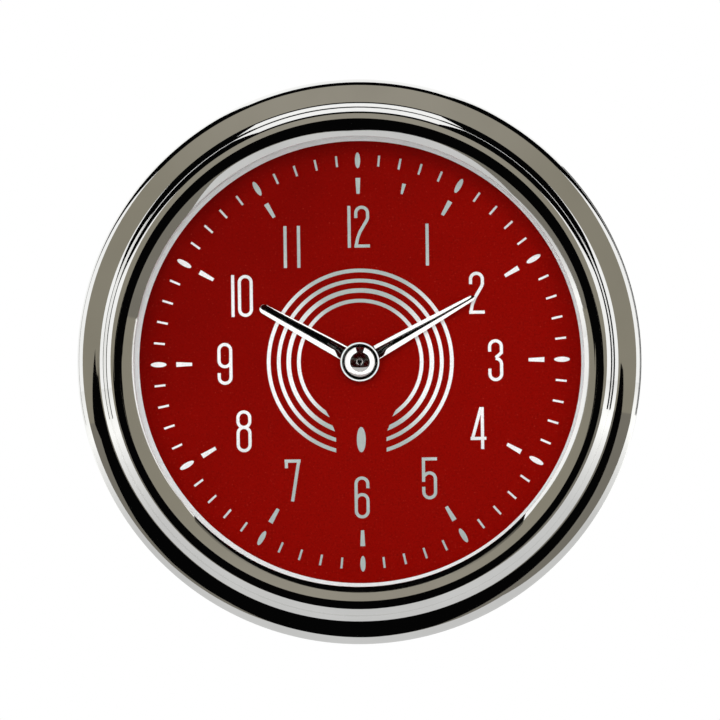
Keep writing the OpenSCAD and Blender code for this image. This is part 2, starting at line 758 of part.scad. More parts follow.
module third_wheel() color("gold") upright() translate(third_at) difference() {
  wheel(third_teeth, third_m, 0, rotor_leaves, third_hub_r, third_wheel_z);
  hole(arbor_r + seat_gap, third_wheel_z, third_wheel_z + wheel_t);
}

module rotor_pinion() color("ivory") upright() translate(rotor_at) {
  rod(pivot_r, back_back, plate_front);
  rod(arbor_r, back_front + end_shake, plate_back - end_shake);
  pinion(rotor_leaves, third_m, rotor_turn,
    third_wheel_z - leaf_over, third_wheel_z + wheel_t + leaf_over);
}

module rotor_magnet() color("#404040") upright() translate(rotor_at) difference() {
  rod(magnet_d / 2, magnet_z, magnet_z + magnet_h);
  hole(arbor_r + seat_gap, magnet_z, magnet_z + magnet_h);
}

// Soft iron bar with a round eye for the rotor
module stator() color("darkgray") upright() in_motor() translate([0, 0, stator_z]) linear_extrude(stator_t)
  difference() {
    union() {
      square([2 * motor_arm + stator_w, stator_w], center = true);
      circle(stator_eye_r + stator_eye_wall);
    }
    circle(stator_eye_r);
    at(arm_at) circle(screw_r + seat_gap);
  }

// Soft iron bridge whose long limb carries the coil
module coil_core() color("darkgray") upright() in_motor() translate([0, 0, core_z]) linear_extrude(core_t)
  difference() {
    union() {
      for (x = [-motor_arm, motor_arm]) translate([x - core_arm_w / 2, -core_arm_w / 2])
        square([core_arm_w, coil_y + core_w / 2 + core_arm_w / 2]);
      translate([-motor_arm, coil_y - core_w / 2]) square([2 * motor_arm, core_w]);
    }
    at(arm_at) circle(screw_r + seat_gap);
  }

module along_coil() in_motor() translate([0, coil_y, coil_z]) rotate([0, 90, 0]) children();

module coil_bobbin() color("white") upright() along_coil() difference() {
  union() {
    rod(bobbin_tube_r, -bobbin_l / 2, bobbin_l / 2);
    rod(bobbin_d / 2, -bobbin_l / 2, -bobbin_l / 2 + bobbin_flange_t);
    rod(bobbin_d / 2, bobbin_l / 2 - bobbin_flange_t, bobbin_l / 2);
  }
  block(core_t + 2 * seat_gap, core_w + 2 * seat_gap, -bobbin_l / 2 - cut, bobbin_l / 2 + cut);
}

module coil_winding() color("chocolate") upright() along_coil() difference() {
  inside = bobbin_l / 2 - bobbin_flange_t;
  rod(winding_r, -inside, inside);
  hole(bobbin_tube_r + seat_gap, -inside, inside);
}

module motor_screws() color("lightsteelblue") upright() in_motor() at(arm_at) {
  rod(screw_head_r, stator_z - screw_head_t, stator_z);
  rod(screw_r, stator_z, plate_back);
}

module circuit_board() color("darkgreen") upright() difference() {
  intersection() {
    rod(board_r, board_back, board_front);
    translate([-board_r, -board_r, board_back]) cube([2 * board_r, board_r - board_edge, board_t]);
  }
  translate(set_at) hole(set_shaft_r + 2 * slip_gap, board_back, board_front);
  at(board_screw_at) hole(screw_r + seat_gap, board_back, board_front);
}

module board_screws() color("lightsteelblue") upright() at(board_screw_at) {
  rod(screw_head_r, board_back - screw_head_t, board_back);
  rod(screw_r, board_back, back_back);
}

module quartz_crystal() color("silver") upright()
  translate([crystal_at[0], crystal_at[1], board_back - crystal_d / 2])
    rotate([0, 90, 0]) rod(crystal_d / 2, -crystal_l / 2, crystal_l / 2);

module driver_chip() color("#202020") upright() translate(chip_at)
  block(chip_w, chip_l, board_back - chip_h, board_back);

module capacitor() color("midnightblue") upright() translate(capacitor_at)
  rod(capacitor_d / 2, board_back - capacitor_h, board_back);

// Blades with a narrower tail through the insulator
module terminal_blades() color("goldenrod") upright() at(terminal_at) {
  block(blade_w, blade_t, blade_front - blade_l, blade_front);
  block(tail_w, blade_t, blade_front, tail_front);
}

module terminal_insulators() color("#e8e0c8") upright() at(terminal_at) difference() {
  union() {
    rod(insulator_flange_r, blade_front, case_back);
    rod(insulator_r, case_back, wall_front);
    rod(insulator_inner_r, wall_front, wall_front + insulator_inner_t);
  }
  block(tail_w + 2 * seat_gap, blade_t + 2 * seat_gap, blade_front - cut, tail_front);
}

module supply_leads() color("firebrick") upright() at(terminal_at) rod(lead_d / 2, tail_front, board_back);

// Twist-lock lamp holder: barrel and lugs inside the case, flange and grip outside
module lamp_socket() color("#202020") upright() translate(lamp_at) difference() {
  union() {
    rod(socket_r, case_back, socket_front);
    translate([0, 0, wall_front]) block(2 * lug_r, lug_w, 0, lug_t);
    rod(socket_flange_r, case_back - socket_flange_t, case_back);
    intersection() {
      rod(socket_grip_r, socket_back, case_back - socket_flange_t);
      block(2 * socket_grip_r, 2 * socket_grip_r * grip_flats, socket_back, case_back);
    }
  }
  rod(bulb_neck_r + seat_gap, socket_front - bulb_neck_l, socket_front + cut);
  at(contact_at)
    block(contact_w + 2 * seat_gap, contact_t + 2 * seat_gap, socket_back - cut, socket_back + contact_in);
}

module socket_contacts() color("goldenrod") upright() translate(lamp_at) at(contact_at)
  block(contact_w, contact_t, socket_back - contact_out, socket_back + contact_in);

module lamp_bulb() color("lightyellow", 0.6) upright() translate(lamp_at) rotate_extrude() polygon(concat(
  [[0, socket_front - bulb_neck_l], [bulb_neck_r, socket_front - bulb_neck_l]],
  [[bulb_neck_r, socket_front + bulb_step]],
  arc([0, socket_front + bulb_l - bulb_r], bulb_r, 0, 90)
));

// Shaft with its pinion under the dial and a collar behind the front plate
module set_shaft() color("lightsteelblue") upright() translate(set_at) {
  rod(set_shaft_r, knob_front - shaft_in_knob, cannon_z + cannon_h);
  pinion(cannon_teeth, cannon_m, set_turn, cannon_z, cannon_z + cannon_h);
  rod(set_shaft_r + set_collar_w, plate_back - end_shake - set_collar_t, plate_back - end_shake);
}

module set_knob() color("#303030") upright() translate(set_at) difference() {
  union() {
    knurled(knob_d / 2, knob_grooves, knob_back, knob_front - neck_h);
    rod(knob_d / 2 - neck_in, knob_front - neck_h, knob_front);
  }
  rod(set_shaft_r + seat_gap, knob_front - shaft_in_knob, knob_front + cut);
}

module shaft_bush() color("goldenrod") upright() translate(set_at) difference() {
  union() {
    rod(bush_r, case_back, wall_front + bush_over);
    rod(bush_flange_r, case_back - bush_flange_t, case_back);
  }
  hole(set_shaft_r + run_gap, case_back - bush_flange_t, wall_front + bush_over);
}

module mounting_studs() color("lightsteelblue") upright() at(stud_at) rod(stud_r, stud_back, back_front);

module spacer_sleeves() color("lightgray") upright() at(stud_at) difference() {
  rod(sleeve_d / 2, wall_front, back_back);
  hole(stud_r + slip_gap, wall_front, back_back);
}

module stud_nuts() color("lightsteelblue") upright() at(stud_at) difference() {
  translate([0, 0, case_back - stud_nut_t]) cylinder(r = stud_nut_d / 2, h = stud_nut_t, $fn = 6);
  hole(stud_r + seat_gap, case_back - stud_nut_t, case_back);
}

// Filled outline of the bracket, from its base up to its feet, with rounded lower corners
module strap_outline(x, base, corner_r) {
  translate([-x, base + corner_r]) square([2 * x, -panel_max - base - corner_r]);
  translate([corner_r - x, base]) square([2 * (x - corner_r), corner_r + cut]);
  for (s = [-1, 1]) translate([s * (x - corner_r), base + corner_r]) circle(corner_r);
}

// U strap that straddles the case, with its feet behind the panel
module clamp_bracket() color("#9a9da0") upright() difference() {
  rotate([90, 0, 0]) linear_extrude(bracket_w, center = true) difference() {
    strap_outline(leg_x + bracket_t, clamp_back, bend_r + bracket_t);
    strap_outline(leg_x, clamp_front, bend_r);
    translate([-leg_x, -panel_max - cut]) square([2 * leg_x, 2 * cut]);
  }
  at(stud_at) hole(stud_r + slip_gap, clamp_back, clamp_front);
}

module clamp_washers() color("lightsteelblue") upright() at(stud_at) difference() {
  rod(washer_d / 2, washer_back, clamp_back);
  hole(stud_r + slip_gap, washer_back, clamp_back);
}

module clamp_nuts() color("goldenrod") upright() at(stud_at) difference() {
  union() {
    knurled(nut_d / 2, nut_grooves, nut_back, washer_back - neck_h);
    rod(nut_d / 2 - neck_in, washer_back - neck_h, washer_back);
  }
  hole(stud_r + run_gap, nut_back, washer_back);
}

bezel();
lens();
lens_gasket();
spacer_ring();
dial();
dial_feet();
dial_feet_nuts();
case();
front_plate();
back_plate();
plate_pillars();
plate_screws();
centre_bush();
minute_wheel_post();
centre_arbor();
centre_wheel();
cannon_pinion();
minute_hand();
hub_cap();
hour_wheel();
hour_hand();
minute_wheel();
third_pinion();
third_wheel();
rotor_pinion();
rotor_magnet();
stator();
coil_core();
coil_bobbin();
coil_winding();
motor_screws();
circuit_board();
board_screws();
quartz_crystal();
driver_chip();
capacitor();
terminal_blades();
terminal_insulators();
supply_leads();
lamp_socket();
socket_contacts();
lamp_bulb();
set_shaft();
set_knob();
shaft_bush();
mounting_studs();
spacer_sleeves();
stud_nuts();
clamp_bracket();
clamp_washers();
clamp_nuts();
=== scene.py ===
from math import asin, cos, degrees, pi, radians, sin, tan

import bmesh
import bpy
from mathutils import Matrix, Vector


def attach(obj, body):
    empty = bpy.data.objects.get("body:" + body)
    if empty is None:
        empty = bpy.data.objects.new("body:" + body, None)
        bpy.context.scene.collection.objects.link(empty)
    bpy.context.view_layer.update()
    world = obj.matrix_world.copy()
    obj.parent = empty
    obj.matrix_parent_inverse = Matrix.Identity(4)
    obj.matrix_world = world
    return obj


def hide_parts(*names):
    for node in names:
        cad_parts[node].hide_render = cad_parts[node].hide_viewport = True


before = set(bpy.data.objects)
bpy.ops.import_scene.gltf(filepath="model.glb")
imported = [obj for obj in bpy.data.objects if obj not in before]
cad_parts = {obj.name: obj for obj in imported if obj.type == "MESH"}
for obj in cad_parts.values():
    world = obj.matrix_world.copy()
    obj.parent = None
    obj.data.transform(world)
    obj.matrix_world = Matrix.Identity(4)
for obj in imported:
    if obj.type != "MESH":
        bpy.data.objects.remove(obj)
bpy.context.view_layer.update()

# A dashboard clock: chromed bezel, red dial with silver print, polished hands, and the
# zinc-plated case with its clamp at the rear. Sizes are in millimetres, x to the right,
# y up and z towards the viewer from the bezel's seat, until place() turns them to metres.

MM = 0.001
TURNS = 192          # segments round the bezel and the case
SMALL_TURNS = 64     # segments round small fittings
ON_AXIS = 1e-6       # radius below which a point counts as on the axis
MITRE = 0.4          # least share of its width that a stroke keeps at a sharp corner

# Front stack
SEAT_R = 26.45
BEZEL_R, BEZEL_FRONT = 30.15, 8.2
WALL = 0.7
LIP_R, LIP_BACK, LIP_EDGE_T = 24.0, 6.3, 0.85
SEAT_EDGE_R = 0.6     # rounding where the outside meets the seat
STACK_R = 29.2
LENS_R, LENS_BACK, LENS_FRONT = 26.4, 4.0, 5.8
SLIP = 0.25           # room left round a loose part
RING_BACK = 1.5
DIAL_VIEW_R, RING_MOUTH_R = 23.65, 24.18
LEDGE_IN_T, LEDGE_OUT_T = 0.13, 0.3   # the pale ledge over the dial, at its inner and outer edge
DIAL_R, DIAL_BACK, DIAL_FRONT = 25.15, -1.0, -0.2
DIAL_HOLE_R = 1.7

# Dial print, a thin silver film on the dial
PRINT_T = 0.03
PRINT_TOP = DIAL_FRONT + PRINT_T
NUMERAL_R = 14.48
STROKE = 0.33
HOUR_STEP = 30

# Hands and hub
HOUR_Z, MINUTE_Z, HUB_Z = 0.15, 1.0, 1.5
HAND_T = 0.5
HOUR_ANGLE, MINUTE_ANGLE = -60.4, 61.1

# Case, fittings and clamp at the rear
CASE_R, CASE_BACK, CASE_WALL, CASE_CORNER_R = 26.2, -32.0, 0.8, 2.0
FLANGE_BACK, FLANGE_FRONT = 0.7, 1.5
STUDS = ((-16.0, 0.0), (16.0, 0.0))
STUD_R, STUD_FRONT, STUD_BACK = 2.0, -14.55, -48.35
KNOB_AT = (0.0, -12.0)
KNOB_R, KNOB_FRONT, KNOB_BACK = 4.2, -33.7, -39.7
LAMP_AT = (0.0, 15.5)
BLADES = ((-12.0, -15.5), (12.0, -15.5))
# Holes in the rear wall: place and radius
HOLES = [(at, 2.25) for at in STUDS] + [(at, 2.41) for at in BLADES] + [(KNOB_AT, 2.11), (LAMP_AT, 5.5)]


def place(x, y, z):
    """A point of the clock, in millimetres, as a point of the frame, in metres."""
    return Vector((x, -z, y)) * MM


def turned(point, angle):
    """A point of the dial's plane, turned clockwise as the viewer sees it."""
    c, s = cos(radians(angle)), sin(radians(angle))
    return (point[0] * c + point[1] * s, point[1] * c - point[0] * s)


def even(start, end, steps):
    """Values in equal steps from one to another."""
    return [start + (end - start) * i / steps for i in range(steps + 1)]


def arc(centre, radius, start, end, steps):
    """Points on a circle from one angle to another, in degrees."""
    angles = [radians(a) for a in even(start, end, steps)]
    return [(centre[0] + radius * cos(a), centre[1] + radius * sin(a)) for a in angles]


def softened(outline, radius, steps=4, least_turn=22):
    """A closed outline with its corners rounded, apart from those on the axis. A point close
    beside each rounding keeps the flats beside it flat in the shading."""
    made = []
    for i, corner in enumerate(outline):
        here = Vector(corner)
        back, ahead = Vector(outline[i - 1]) - here, Vector(outline[(i + 1) % len(outline)]) - here
        turn = pi - back.angle(ahead)
        if degrees(turn) < least_turn or abs(corner[0]) < ON_AXIS:
            made.append(corner)
            continue
        reach = min(radius * tan(turn / 2), 0.45 * back.length, 0.45 * ahead.length)
        start, end = here + back.normalized() * reach, here + ahead.normalized() * reach
        made.append(tuple(start + back.normalized() * reach * 0.1))
        for t in even(0, 1, steps):
            made.append(tuple(start * (1 - t) ** 2 + here * 2 * t * (1 - t) + end * t * t))
        made.append(tuple(end + ahead.normalized() * reach * 0.1))
    return made


def spin(bm, profile, turns=TURNS, centre=(0, 0)):
    """Adds a closed profile of (radius, height) points, turned about an axis of the clock."""
    rings = []
    for r, z in profile:
        count = turns if r > ON_AXIS else 1
        angles = [2 * pi * i / count for i in range(count)]
        spots = [(centre[0] + r * cos(a), centre[1] + r * sin(a)) for a in angles]
        rings.append([bm.verts.new(place(x, y, z)) for x, y in spots])
    for a, b in zip(rings, rings[1:] + rings[:1]):
        if len(a) == 1 and len(b) == 1:
            continue
        for i in range(turns):
            j = (i + 1) % turns
            corners = (a[i % len(a)], a[j % len(a)], b[j % len(b)], b[i % len(b)])
            bm.faces.new(list(dict.fromkeys(corners)))


def skin(bm, outlines, closed=False):
    """Adds a solid through outlines of equal length, as the faces between each and the next and
    those at both ends. Where it closes on itself, the last outline joins the first instead."""
    rings = [[bm.verts.new(place(*point)) for point in outline] for outline in outlines]
    for a, b in zip(rings, rings[1:] + (rings[:1] if closed else [])):
        for i in range(len(a)):
            j = (i + 1) % len(a)
            bm.faces.new((a[i], a[j], b[j], b[i]))
    if not closed:
        bm.faces.new(rings[0])
        bm.faces.new(rings[-1])


def ribbon(bm, path, width, low, high, closed=False):
    """Adds a flat stroke of even width along a path, as a thin solid with square ends."""
    points = [Vector(p) for p in path]
    count = len(points)
    rings = []
    for i, p in enumerate(points):
        into = p - points[i - 1] if i or closed else points[1] - p
        out = points[(i + 1) % count] - p if i < count - 1 or closed else into
        into, out = into.normalized(), out.normalized()
        along = (into + out).normalized()
        side = Vector((-along.y, along.x)) * width / 2 / max(MITRE, along.dot(into))
        corners = ((p + side, low), (p + side, high), (p - side, high), (p - side, low))
        rings.append([(q.x, q.y, z) for q, z in corners])
    skin(bm, rings, closed)


def to_mesh(name, bm, crease=30):
    """The finished mesh: doubles merged, faces outwards, smooth except at its creases."""
    bmesh.ops.remove_doubles(bm, verts=bm.verts, dist=1e-8)
    bmesh.ops.recalc_face_normals(bm, faces=bm.faces)
    mesh = bpy.data.meshes.new(name)
    bm.to_mesh(mesh)
    bm.free()
    return creased(mesh, crease)


def creased(mesh, crease=30):
    mesh.shade_smooth()
    mesh.set_sharp_from_angle(angle=radians(crease))
    return mesh


def spun(name, profile, turns=TURNS, centres=((0, 0),), crease=30):
    bm = bmesh.new()
    for centre in centres:
        spin(bm, profile, turns, centre)
    return to_mesh(name, bm, crease)


def in_scene(name, data):
    made = bpy.data.objects.new(name, data)
    bpy.context.scene.collection.objects.link(made)
    return made


def settled(work):
    """The mesh that an object's modifiers give, with the object taken away."""
    bpy.context.view_layer.update()
    ready = work.evaluated_get(bpy.context.evaluated_depsgraph_get())
    mesh = bpy.data.meshes.new_from_object(ready)
    bpy.data.objects.remove(work)
    return mesh


def joined(mesh, other, operation, crease=30):
    """One mesh after a union with another, or a cut by it."""
    work, tool = in_scene("work", mesh), in_scene("tool", other)
    change = work.modifiers.new("change", "BOOLEAN")
    change.operation, change.solver, change.object = operation, "EXACT", tool
    made = settled(work)
    bpy.data.objects.remove(tool)
    return creased(made, crease)


def weighted(mesh, crease=30):
    """The mesh with normals that keep its large flats flat beside rounded edges."""
    work = in_scene("work", creased(mesh, crease))
    change = work.modifiers.new("flats", "WEIGHTED_NORMAL")
    change.keep_sharp = True
    return settled(work)


def eased(node, edge, crease=35):
    """A merged copy of a CAD node with its sharp edges broken."""
    bm = bmesh.new()
    bm.from_mesh(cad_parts[node].data)
    bmesh.ops.remove_doubles(bm, verts=bm.verts, dist=1e-6)
    bmesh.ops.dissolve_limit(bm, angle_limit=radians(0.5), verts=bm.verts, edges=bm.edges)
    sharp = [e for e in bm.edges if len(e.link_faces) == 2 and e.calc_face_angle(0) > radians(crease)]
    bmesh.ops.bevel(bm, geom=sharp, offset=edge * MM, offset_type="OFFSET", segments=2,
                    profile=0.5, affect="EDGES", clamp_overlap=True)
    mesh = bpy.data.meshes.new(node)
    bm.to_mesh(mesh)
    bm.free()
    return weighted(mesh)


def piece(name, mesh, finish, body, slot, *stands_for):
    """A finished piece that rides on a body, with its finish and the CAD nodes it stands for."""
    mesh.materials.clear()
    mesh.materials.append(finish)
    made = in_scene(name, mesh)
    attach(made, body)
    if stands_for:
        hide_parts(*stands_for)
    return made


def fill(tree, node, inputs):
    """Fills a node's inputs with values or links."""
    for name, value in inputs.items():
        if isinstance(value, bpy.types.NodeSocket):
            tree.links.new(value, node.inputs[name])
        else:
            node.inputs[name].default_value = value


def add(tree, kind, inputs=None, **settings):
    """Adds a node with its settings, and fills its inputs."""
    made = tree.nodes.new(kind)
    for name, value in settings.items():
        setattr(made, name, value)
    fill(tree, made, inputs or {})
    return made


def maths(tree, operation, first, second=0.5):
    """What one sum gives for two values."""
    return add(tree, "ShaderNodeMath", {0: first, 1: second}, operation=operation).outputs[0]


def span(tree, value, source=(0.0, 1.0), target=(0.0, 1.0)):
    """A value taken from one range to another."""
    ends = {"From Min": source[0], "From Max": source[1], "To Min": target[0], "To Max": target[1]}
    return add(tree, "ShaderNodeMapRange", {"Value": value, **ends}).outputs[0]


def blend(tree, share, first, second):
    """A colour between two, each a hex colour or what another node gives."""
    ends = [linear(c) if isinstance(c, str) else c for c in (first, second)]
    return add(tree, "ShaderNodeMix", {0: share, 6: ends[0], 7: ends[1]}, data_type="RGBA").outputs[2]


def linear(hex_colour):
    """An sRGB hex colour as linear red, green, blue and alpha."""
    parts = [int(hex_colour[i:i + 2], 16) / 255 for i in (1, 3, 5)]
    return [p / 12.92 if p <= 0.04045 else ((p + 0.055) / 1.055) ** 2.4 for p in parts] + [1.0]


# Materials


def blank(name):
    """A new material with one Principled shader, and its tree."""
    made = bpy.data.materials.new(name)
    made.use_nodes = True
    tree = made.node_tree
    tree.nodes.clear()
    shader = add(tree, "ShaderNodeBsdfPrincipled")
    add(tree, "ShaderNodeOutputMaterial", {"Surface": shader.outputs[0]})
    return made, tree, shader


def part_clear(tree, share, shader):
    """Lets that share of the rays pass straight through a shader."""
    clear = add(tree, "ShaderNodeBsdfTransparent")
    both = add(tree, "ShaderNodeMixShader", {0: share, 1: shader.outputs[0], 2: clear.outputs[0]})
    out = next(n for n in tree.nodes if n.type == "OUTPUT_MATERIAL")
    fill(tree, out, {"Surface": both.outputs[0]})


def spot(tree):
    """The place on the object, in metres."""
    return add(tree, "ShaderNodeTexCoord").outputs["Object"]


def vectors(tree, operation, *inputs):
    """What one sum gives for vectors: a value from a dot product, else a vector."""
    made = add(tree, "ShaderNodeVectorMath", dict(enumerate(inputs)), operation=operation)
    return made.outputs["Value" if operation == "DOT_PRODUCT" else "Vector"]


def grain(tree, size, detail=3.0, stretch=(1, 1, 1)):
    """A noise whose blots are about that many millimetres across."""
    where = add(tree, "ShaderNodeMapping", {"Vector": spot(tree), "Scale": stretch}).outputs[0]
    noise = add(tree, "ShaderNodeTexNoise", {"Vector": where, "Scale": 1 / (size * MM), "Detail": detail})
    return noise.outputs["Fac"]


def relief(tree, height, depth):
    """A normal from a grain that stands out by that many millimetres."""
    bump = add(tree, "ShaderNodeBump", {"Height": height, "Strength": 1.0, "Distance": depth * MM})
    return bump.outputs[0]


GRAIN_RANGE = (0.3, 0.7)     # what a noise hardly ever leaves


def surface(name, tones, metallic, rough, size, bump=0.0, stretch=(1, 1, 1), detail=3.0):
    """A finish with two tones, a roughness range and a fine relief, all from one grain."""
    made, tree, shader = blank(name)
    fac = grain(tree, size, detail, stretch)
    spread = span(tree, fac, GRAIN_RANGE)
    fill(tree, shader, {"Base Color": blend(tree, spread, *tones), "Metallic": metallic,
                        "Roughness": span(tree, spread, target=rough)})
    if bump:
        fill(tree, shader, {"Normal": relief(tree, fac, bump)})
    return made


def red_lacquer():
    """Fine satin lacquer on a stamped dial: deep red with a fine pigment grain, and a painted shade
    that darkens it towards the upper left in soft blotches. The real grains are near 0.05 mm and are drawn
    at 0.2 mm to show."""
    made, tree, shader = blank("red_satin_lacquer")
    # Painted shade: the red goes darker towards the upper left, in soft blotches
    shade_lean = vectors(tree, "DOT_PRODUCT", spot(tree), (-0.7, 0, 0.7))
    shade = maths(tree, "MULTIPLY", span(tree, shade_lean, (-4 * MM, 22 * MM)), grain(tree, 9.0, 2.0))
    deep = blend(tree, shade, "#860500", "#640200")
    speck = grain(tree, 0.2, 2.0)
    grained = blend(tree, span(tree, speck, (0.5, 0.3), (0, 0.5)), deep, "#560200")
    spotted = blend(tree, span(tree, speck, (0.64, 0.74), (0, 0.45)), grained, "#A04038")
    fill(tree, shader, {"Base Color": spotted, "Roughness": span(tree, speck, target=(0.42, 0.6)),
                        "Normal": relief(tree, speck, 0.004), "Specular IOR Level": 0.05})
    return made


def silver_print():
    """Silver ink laid on in rings, with a painted sheen: white towards three and nine o'clock and
    greyer towards twelve and six. The ink's flakes are drawn at 0.12 mm to show."""
    made, tree, shader = blank("silver_print")
    aim = vectors(tree, "NORMALIZE", vectors(tree, "MULTIPLY", spot(tree), (1, 0, 1)))
    side = vectors(tree, "DOT_PRODUCT", aim, (1, 0, 0))
    # Painted sheen: the ink is coloured white where its rings would catch the light, grey elsewhere
    lit = span(tree, maths(tree, "MULTIPLY", side, side), (0.25, 0.8))
    painted_sheen_tone = blend(tree, lit, "#AEBAB6", "#FFFFFF")
    dust = span(tree, grain(tree, 0.12, 1.0), GRAIN_RANGE, (0, 0.22))
    fill(tree, shader, {"Base Color": blend(tree, dust, painted_sheen_tone, "#8E918E"), "Roughness": 0.5})
    return made


def clear_glass(name, tint):
    """Smooth clear glass. Rays from the lamps pass straight through, so what lies behind is lit."""
    made, tree, shader = blank(name)
    fill(tree, shader, {"Base Color": linear(tint), "Roughness": 0.0, "IOR": 1.5,
                        "Transmission Weight": 1.0})
    part_clear(tree, add(tree, "ShaderNodeLightPath").outputs["Is Shadow Ray"], shader)
    return made


FINISHES = {
    # Bright chrome plate on brass: almost a mirror, with the faintest haze of handling
    "chrome": surface("bright_chrome_plate", ("#F4F4F2", "#EDEDEB"), 1.0, (0.02, 0.05), 6.0),
    # Float glass: colourless, with clean mirror images
    "clear_glass": clear_glass("float_glass", "#FFFFFF"),
    # Blown lamp glass: clear with a warm cast
    "lamp_glass": clear_glass("blown_lamp_glass", "#FBF6E6"),
    # Nitrile rubber, moulded: matt black with a dusty bloom
    "black_rubber": surface("moulded_nitrile_rubber", ("#0B0B0B", "#171716"), 0.0, (0.6, 0.8), 0.8, 0.01),
    # Silver-white lacquer on the spun ring: pale and satin, so that it lights up all round
    "satin_aluminium": surface("satin_silver_lacquer", ("#F6FAFA", "#ECF1F1"), 0.0, (0.32, 0.45), 1.2),
    # Satin lacquer: deep red with a fine grain, and painted shade darker towards the upper left
    "red_dial": red_lacquer(),
    # Bright zinc plate on drawn steel: bluish grey, with fine draw lines along the barrel
    "plated_steel": surface("bright_zinc_plate", ("#B7BBBF", "#A9AEB2"), 1.0, (0.31, 0.39), 1.4, 0.001,
                            (1, 0.1, 1), 5.0),
    # Turned steel: grey, with fine lathe marks
    "steel": surface("turned_steel", ("#C9CBCE", "#A2A5A9"), 1.0, (0.18, 0.32), 0.7, 0.003, (1, 4, 1)),
    # Turned brass: yellow, a little browned by handling
    "brass": surface("turned_brass", ("#D9B25E", "#B98E3E"), 1.0, (0.2, 0.36), 0.9, 0.003, (1, 4, 1)),
    # Tinned brass: pale, with a warm cast where the tin is thin
    "tinned_brass": surface("tinned_brass", ("#D8D2C2", "#C3B68F"), 1.0, (0.22, 0.4), 1.6, 0.003),
    # Filled resin, moulded: tan, with a fine flow mottle
    "plate_resin": surface("moulded_tan_resin", ("#A8946C", "#94805A"), 0.0, (0.45, 0.6), 1.5, 0.01),
    # Soft iron stampings: dark grey with an annealing bloom
    "soft_iron": surface("annealed_soft_iron", ("#7C7D80", "#5B5C60"), 1.0, (0.35, 0.55), 1.0, 0.004),
    # Sintered magnet: near black, granular
    "magnet": surface("sintered_magnet", ("#2A2A2C", "#1B1B1D"), 0.6, (0.5, 0.7), 0.3, 0.01),
    # Acetal, moulded: waxy white
    "white_resin": surface("moulded_acetal", ("#EDEAE0", "#DEDACD"), 0.0, (0.35, 0.5), 1.2, 0.006),
    # Enamelled copper wire, wound in rows of 0.2 mm: brown red and shiny
    "copper_wire": surface("enamelled_copper_wire", ("#B5602B", "#7E3A16"), 0.8, (0.2, 0.35), 0.2, 0.02),
    # Lacquered glass-fibre board: green with the cloth just showing
    "board": surface("lacquered_circuit_board", ("#14602E", "#0D4A22"), 0.0, (0.25, 0.4), 0.5, 0.006),
    # Drawn nickel: bright and faintly warm
    "crystal_can": surface("drawn_nickel_can", ("#D2D2CC", "#B9B8B0"), 1.0, (0.14, 0.26), 0.8, 0.002),
    # Phenolic or nylon, moulded black: a fine spark-eroded texture, grit about 0.15 mm
    "black_resin": surface("moulded_black_nylon", ("#151515", "#202020"), 0.0, (0.4, 0.6), 0.15, 0.012),
    # Shrink sleeve: dark blue and shiny
    "capacitor_sleeve": surface("shrink_sleeve", ("#12183C", "#1A2250"), 0.0, (0.2, 0.32), 1.0),
    # Extruded insulation: red and satin
    "red_lead": surface("extruded_red_insulation", ("#A01812", "#86100C"), 0.0, (0.35, 0.5), 0.8),
}
# Silver ink with a painted sheen: white towards three and nine o'clock, grey towards twelve and six
PRINT_PAINTED_SHEEN = silver_print()
# Zinc plate on rolled strip: as the case, with the mill's fine lines along the strap
STRAP = surface("zinc_plated_strip", ("#BFC3C6", "#AEB2B6"), 1.0, (0.3, 0.38), 0.8, 0.001, (0.08, 0.08, 1))


def coated(name, mesh, finish, body):
    """A piece in the place of the CAD node of its name, with that node's finish."""
    piece(name, mesh, FINISHES[finish], body, finish, name)


# What repeats, made by Geometry Nodes


def new_tree(name, **inputs):
    """A tree that takes a geometry and other inputs, and gives a geometry."""
    tree = bpy.data.node_groups.new(name, "GeometryNodeTree")
    for label, kind in (("Geometry", "Geometry"), *inputs.items()):
        tree.interface.new_socket(label.replace("_", " "), in_out="INPUT", socket_type="NodeSocket" + kind)
    tree.interface.new_socket("Geometry", in_out="OUTPUT", socket_type="NodeSocketGeometry")
    return tree, add(tree, "NodeGroupInput").outputs


def dressed(tree, shape, finish):
    """The tree, ended by a plain mesh of that shape with its finish."""
    real = add(tree, "GeometryNodeRealizeInstances", {"Geometry": shape})
    coat = add(tree, "GeometryNodeSetMaterial", {"Geometry": real.outputs[0], "Material": finish})
    add(tree, "NodeGroupOutput", {"Geometry": coat.outputs[0]})
    return tree


def ring_tree():
    """Copies of one shape, turned about the clock's axis or one beside it."""
    tree, given = new_tree("ring_of_copies", Count="Int", Left_Out_Every="Int", Centre="Vector",
                           Finish="Material")
    spots = add(tree, "GeometryNodePoints", {"Count": given["Count"], "Position": given["Centre"]})
    index = add(tree, "GeometryNodeInputIndex").outputs[0]
    beat = maths(tree, "MODULO", index, given["Left Out Every"])
    kept = maths(tree, "ADD", beat, maths(tree, "LESS_THAN", given["Left Out Every"], 0.5))
    angle = maths(tree, "MULTIPLY", maths(tree, "DIVIDE", index, given["Count"]), 2 * pi)
    spin_by = add(tree, "ShaderNodeCombineXYZ", {"Y": angle}).outputs[0]
    copies = add(tree, "GeometryNodeInstanceOnPoints", {
        "Points": spots.outputs[0], "Selection": kept, "Instance": given["Geometry"], "Rotation": spin_by})
    return dressed(tree, copies.outputs[0], given["Finish"])


def union_tree():
    """Overlapping strokes made one solid."""
    tree, given = new_tree("strokes_as_one", Finish="Material")
    whole = add(tree, "GeometryNodeMeshBoolean", {"Mesh 2": given["Geometry"], "Self Intersection": True},
                operation="UNION", solver="EXACT")
    return dressed(tree, whole.outputs[0], given["Finish"])


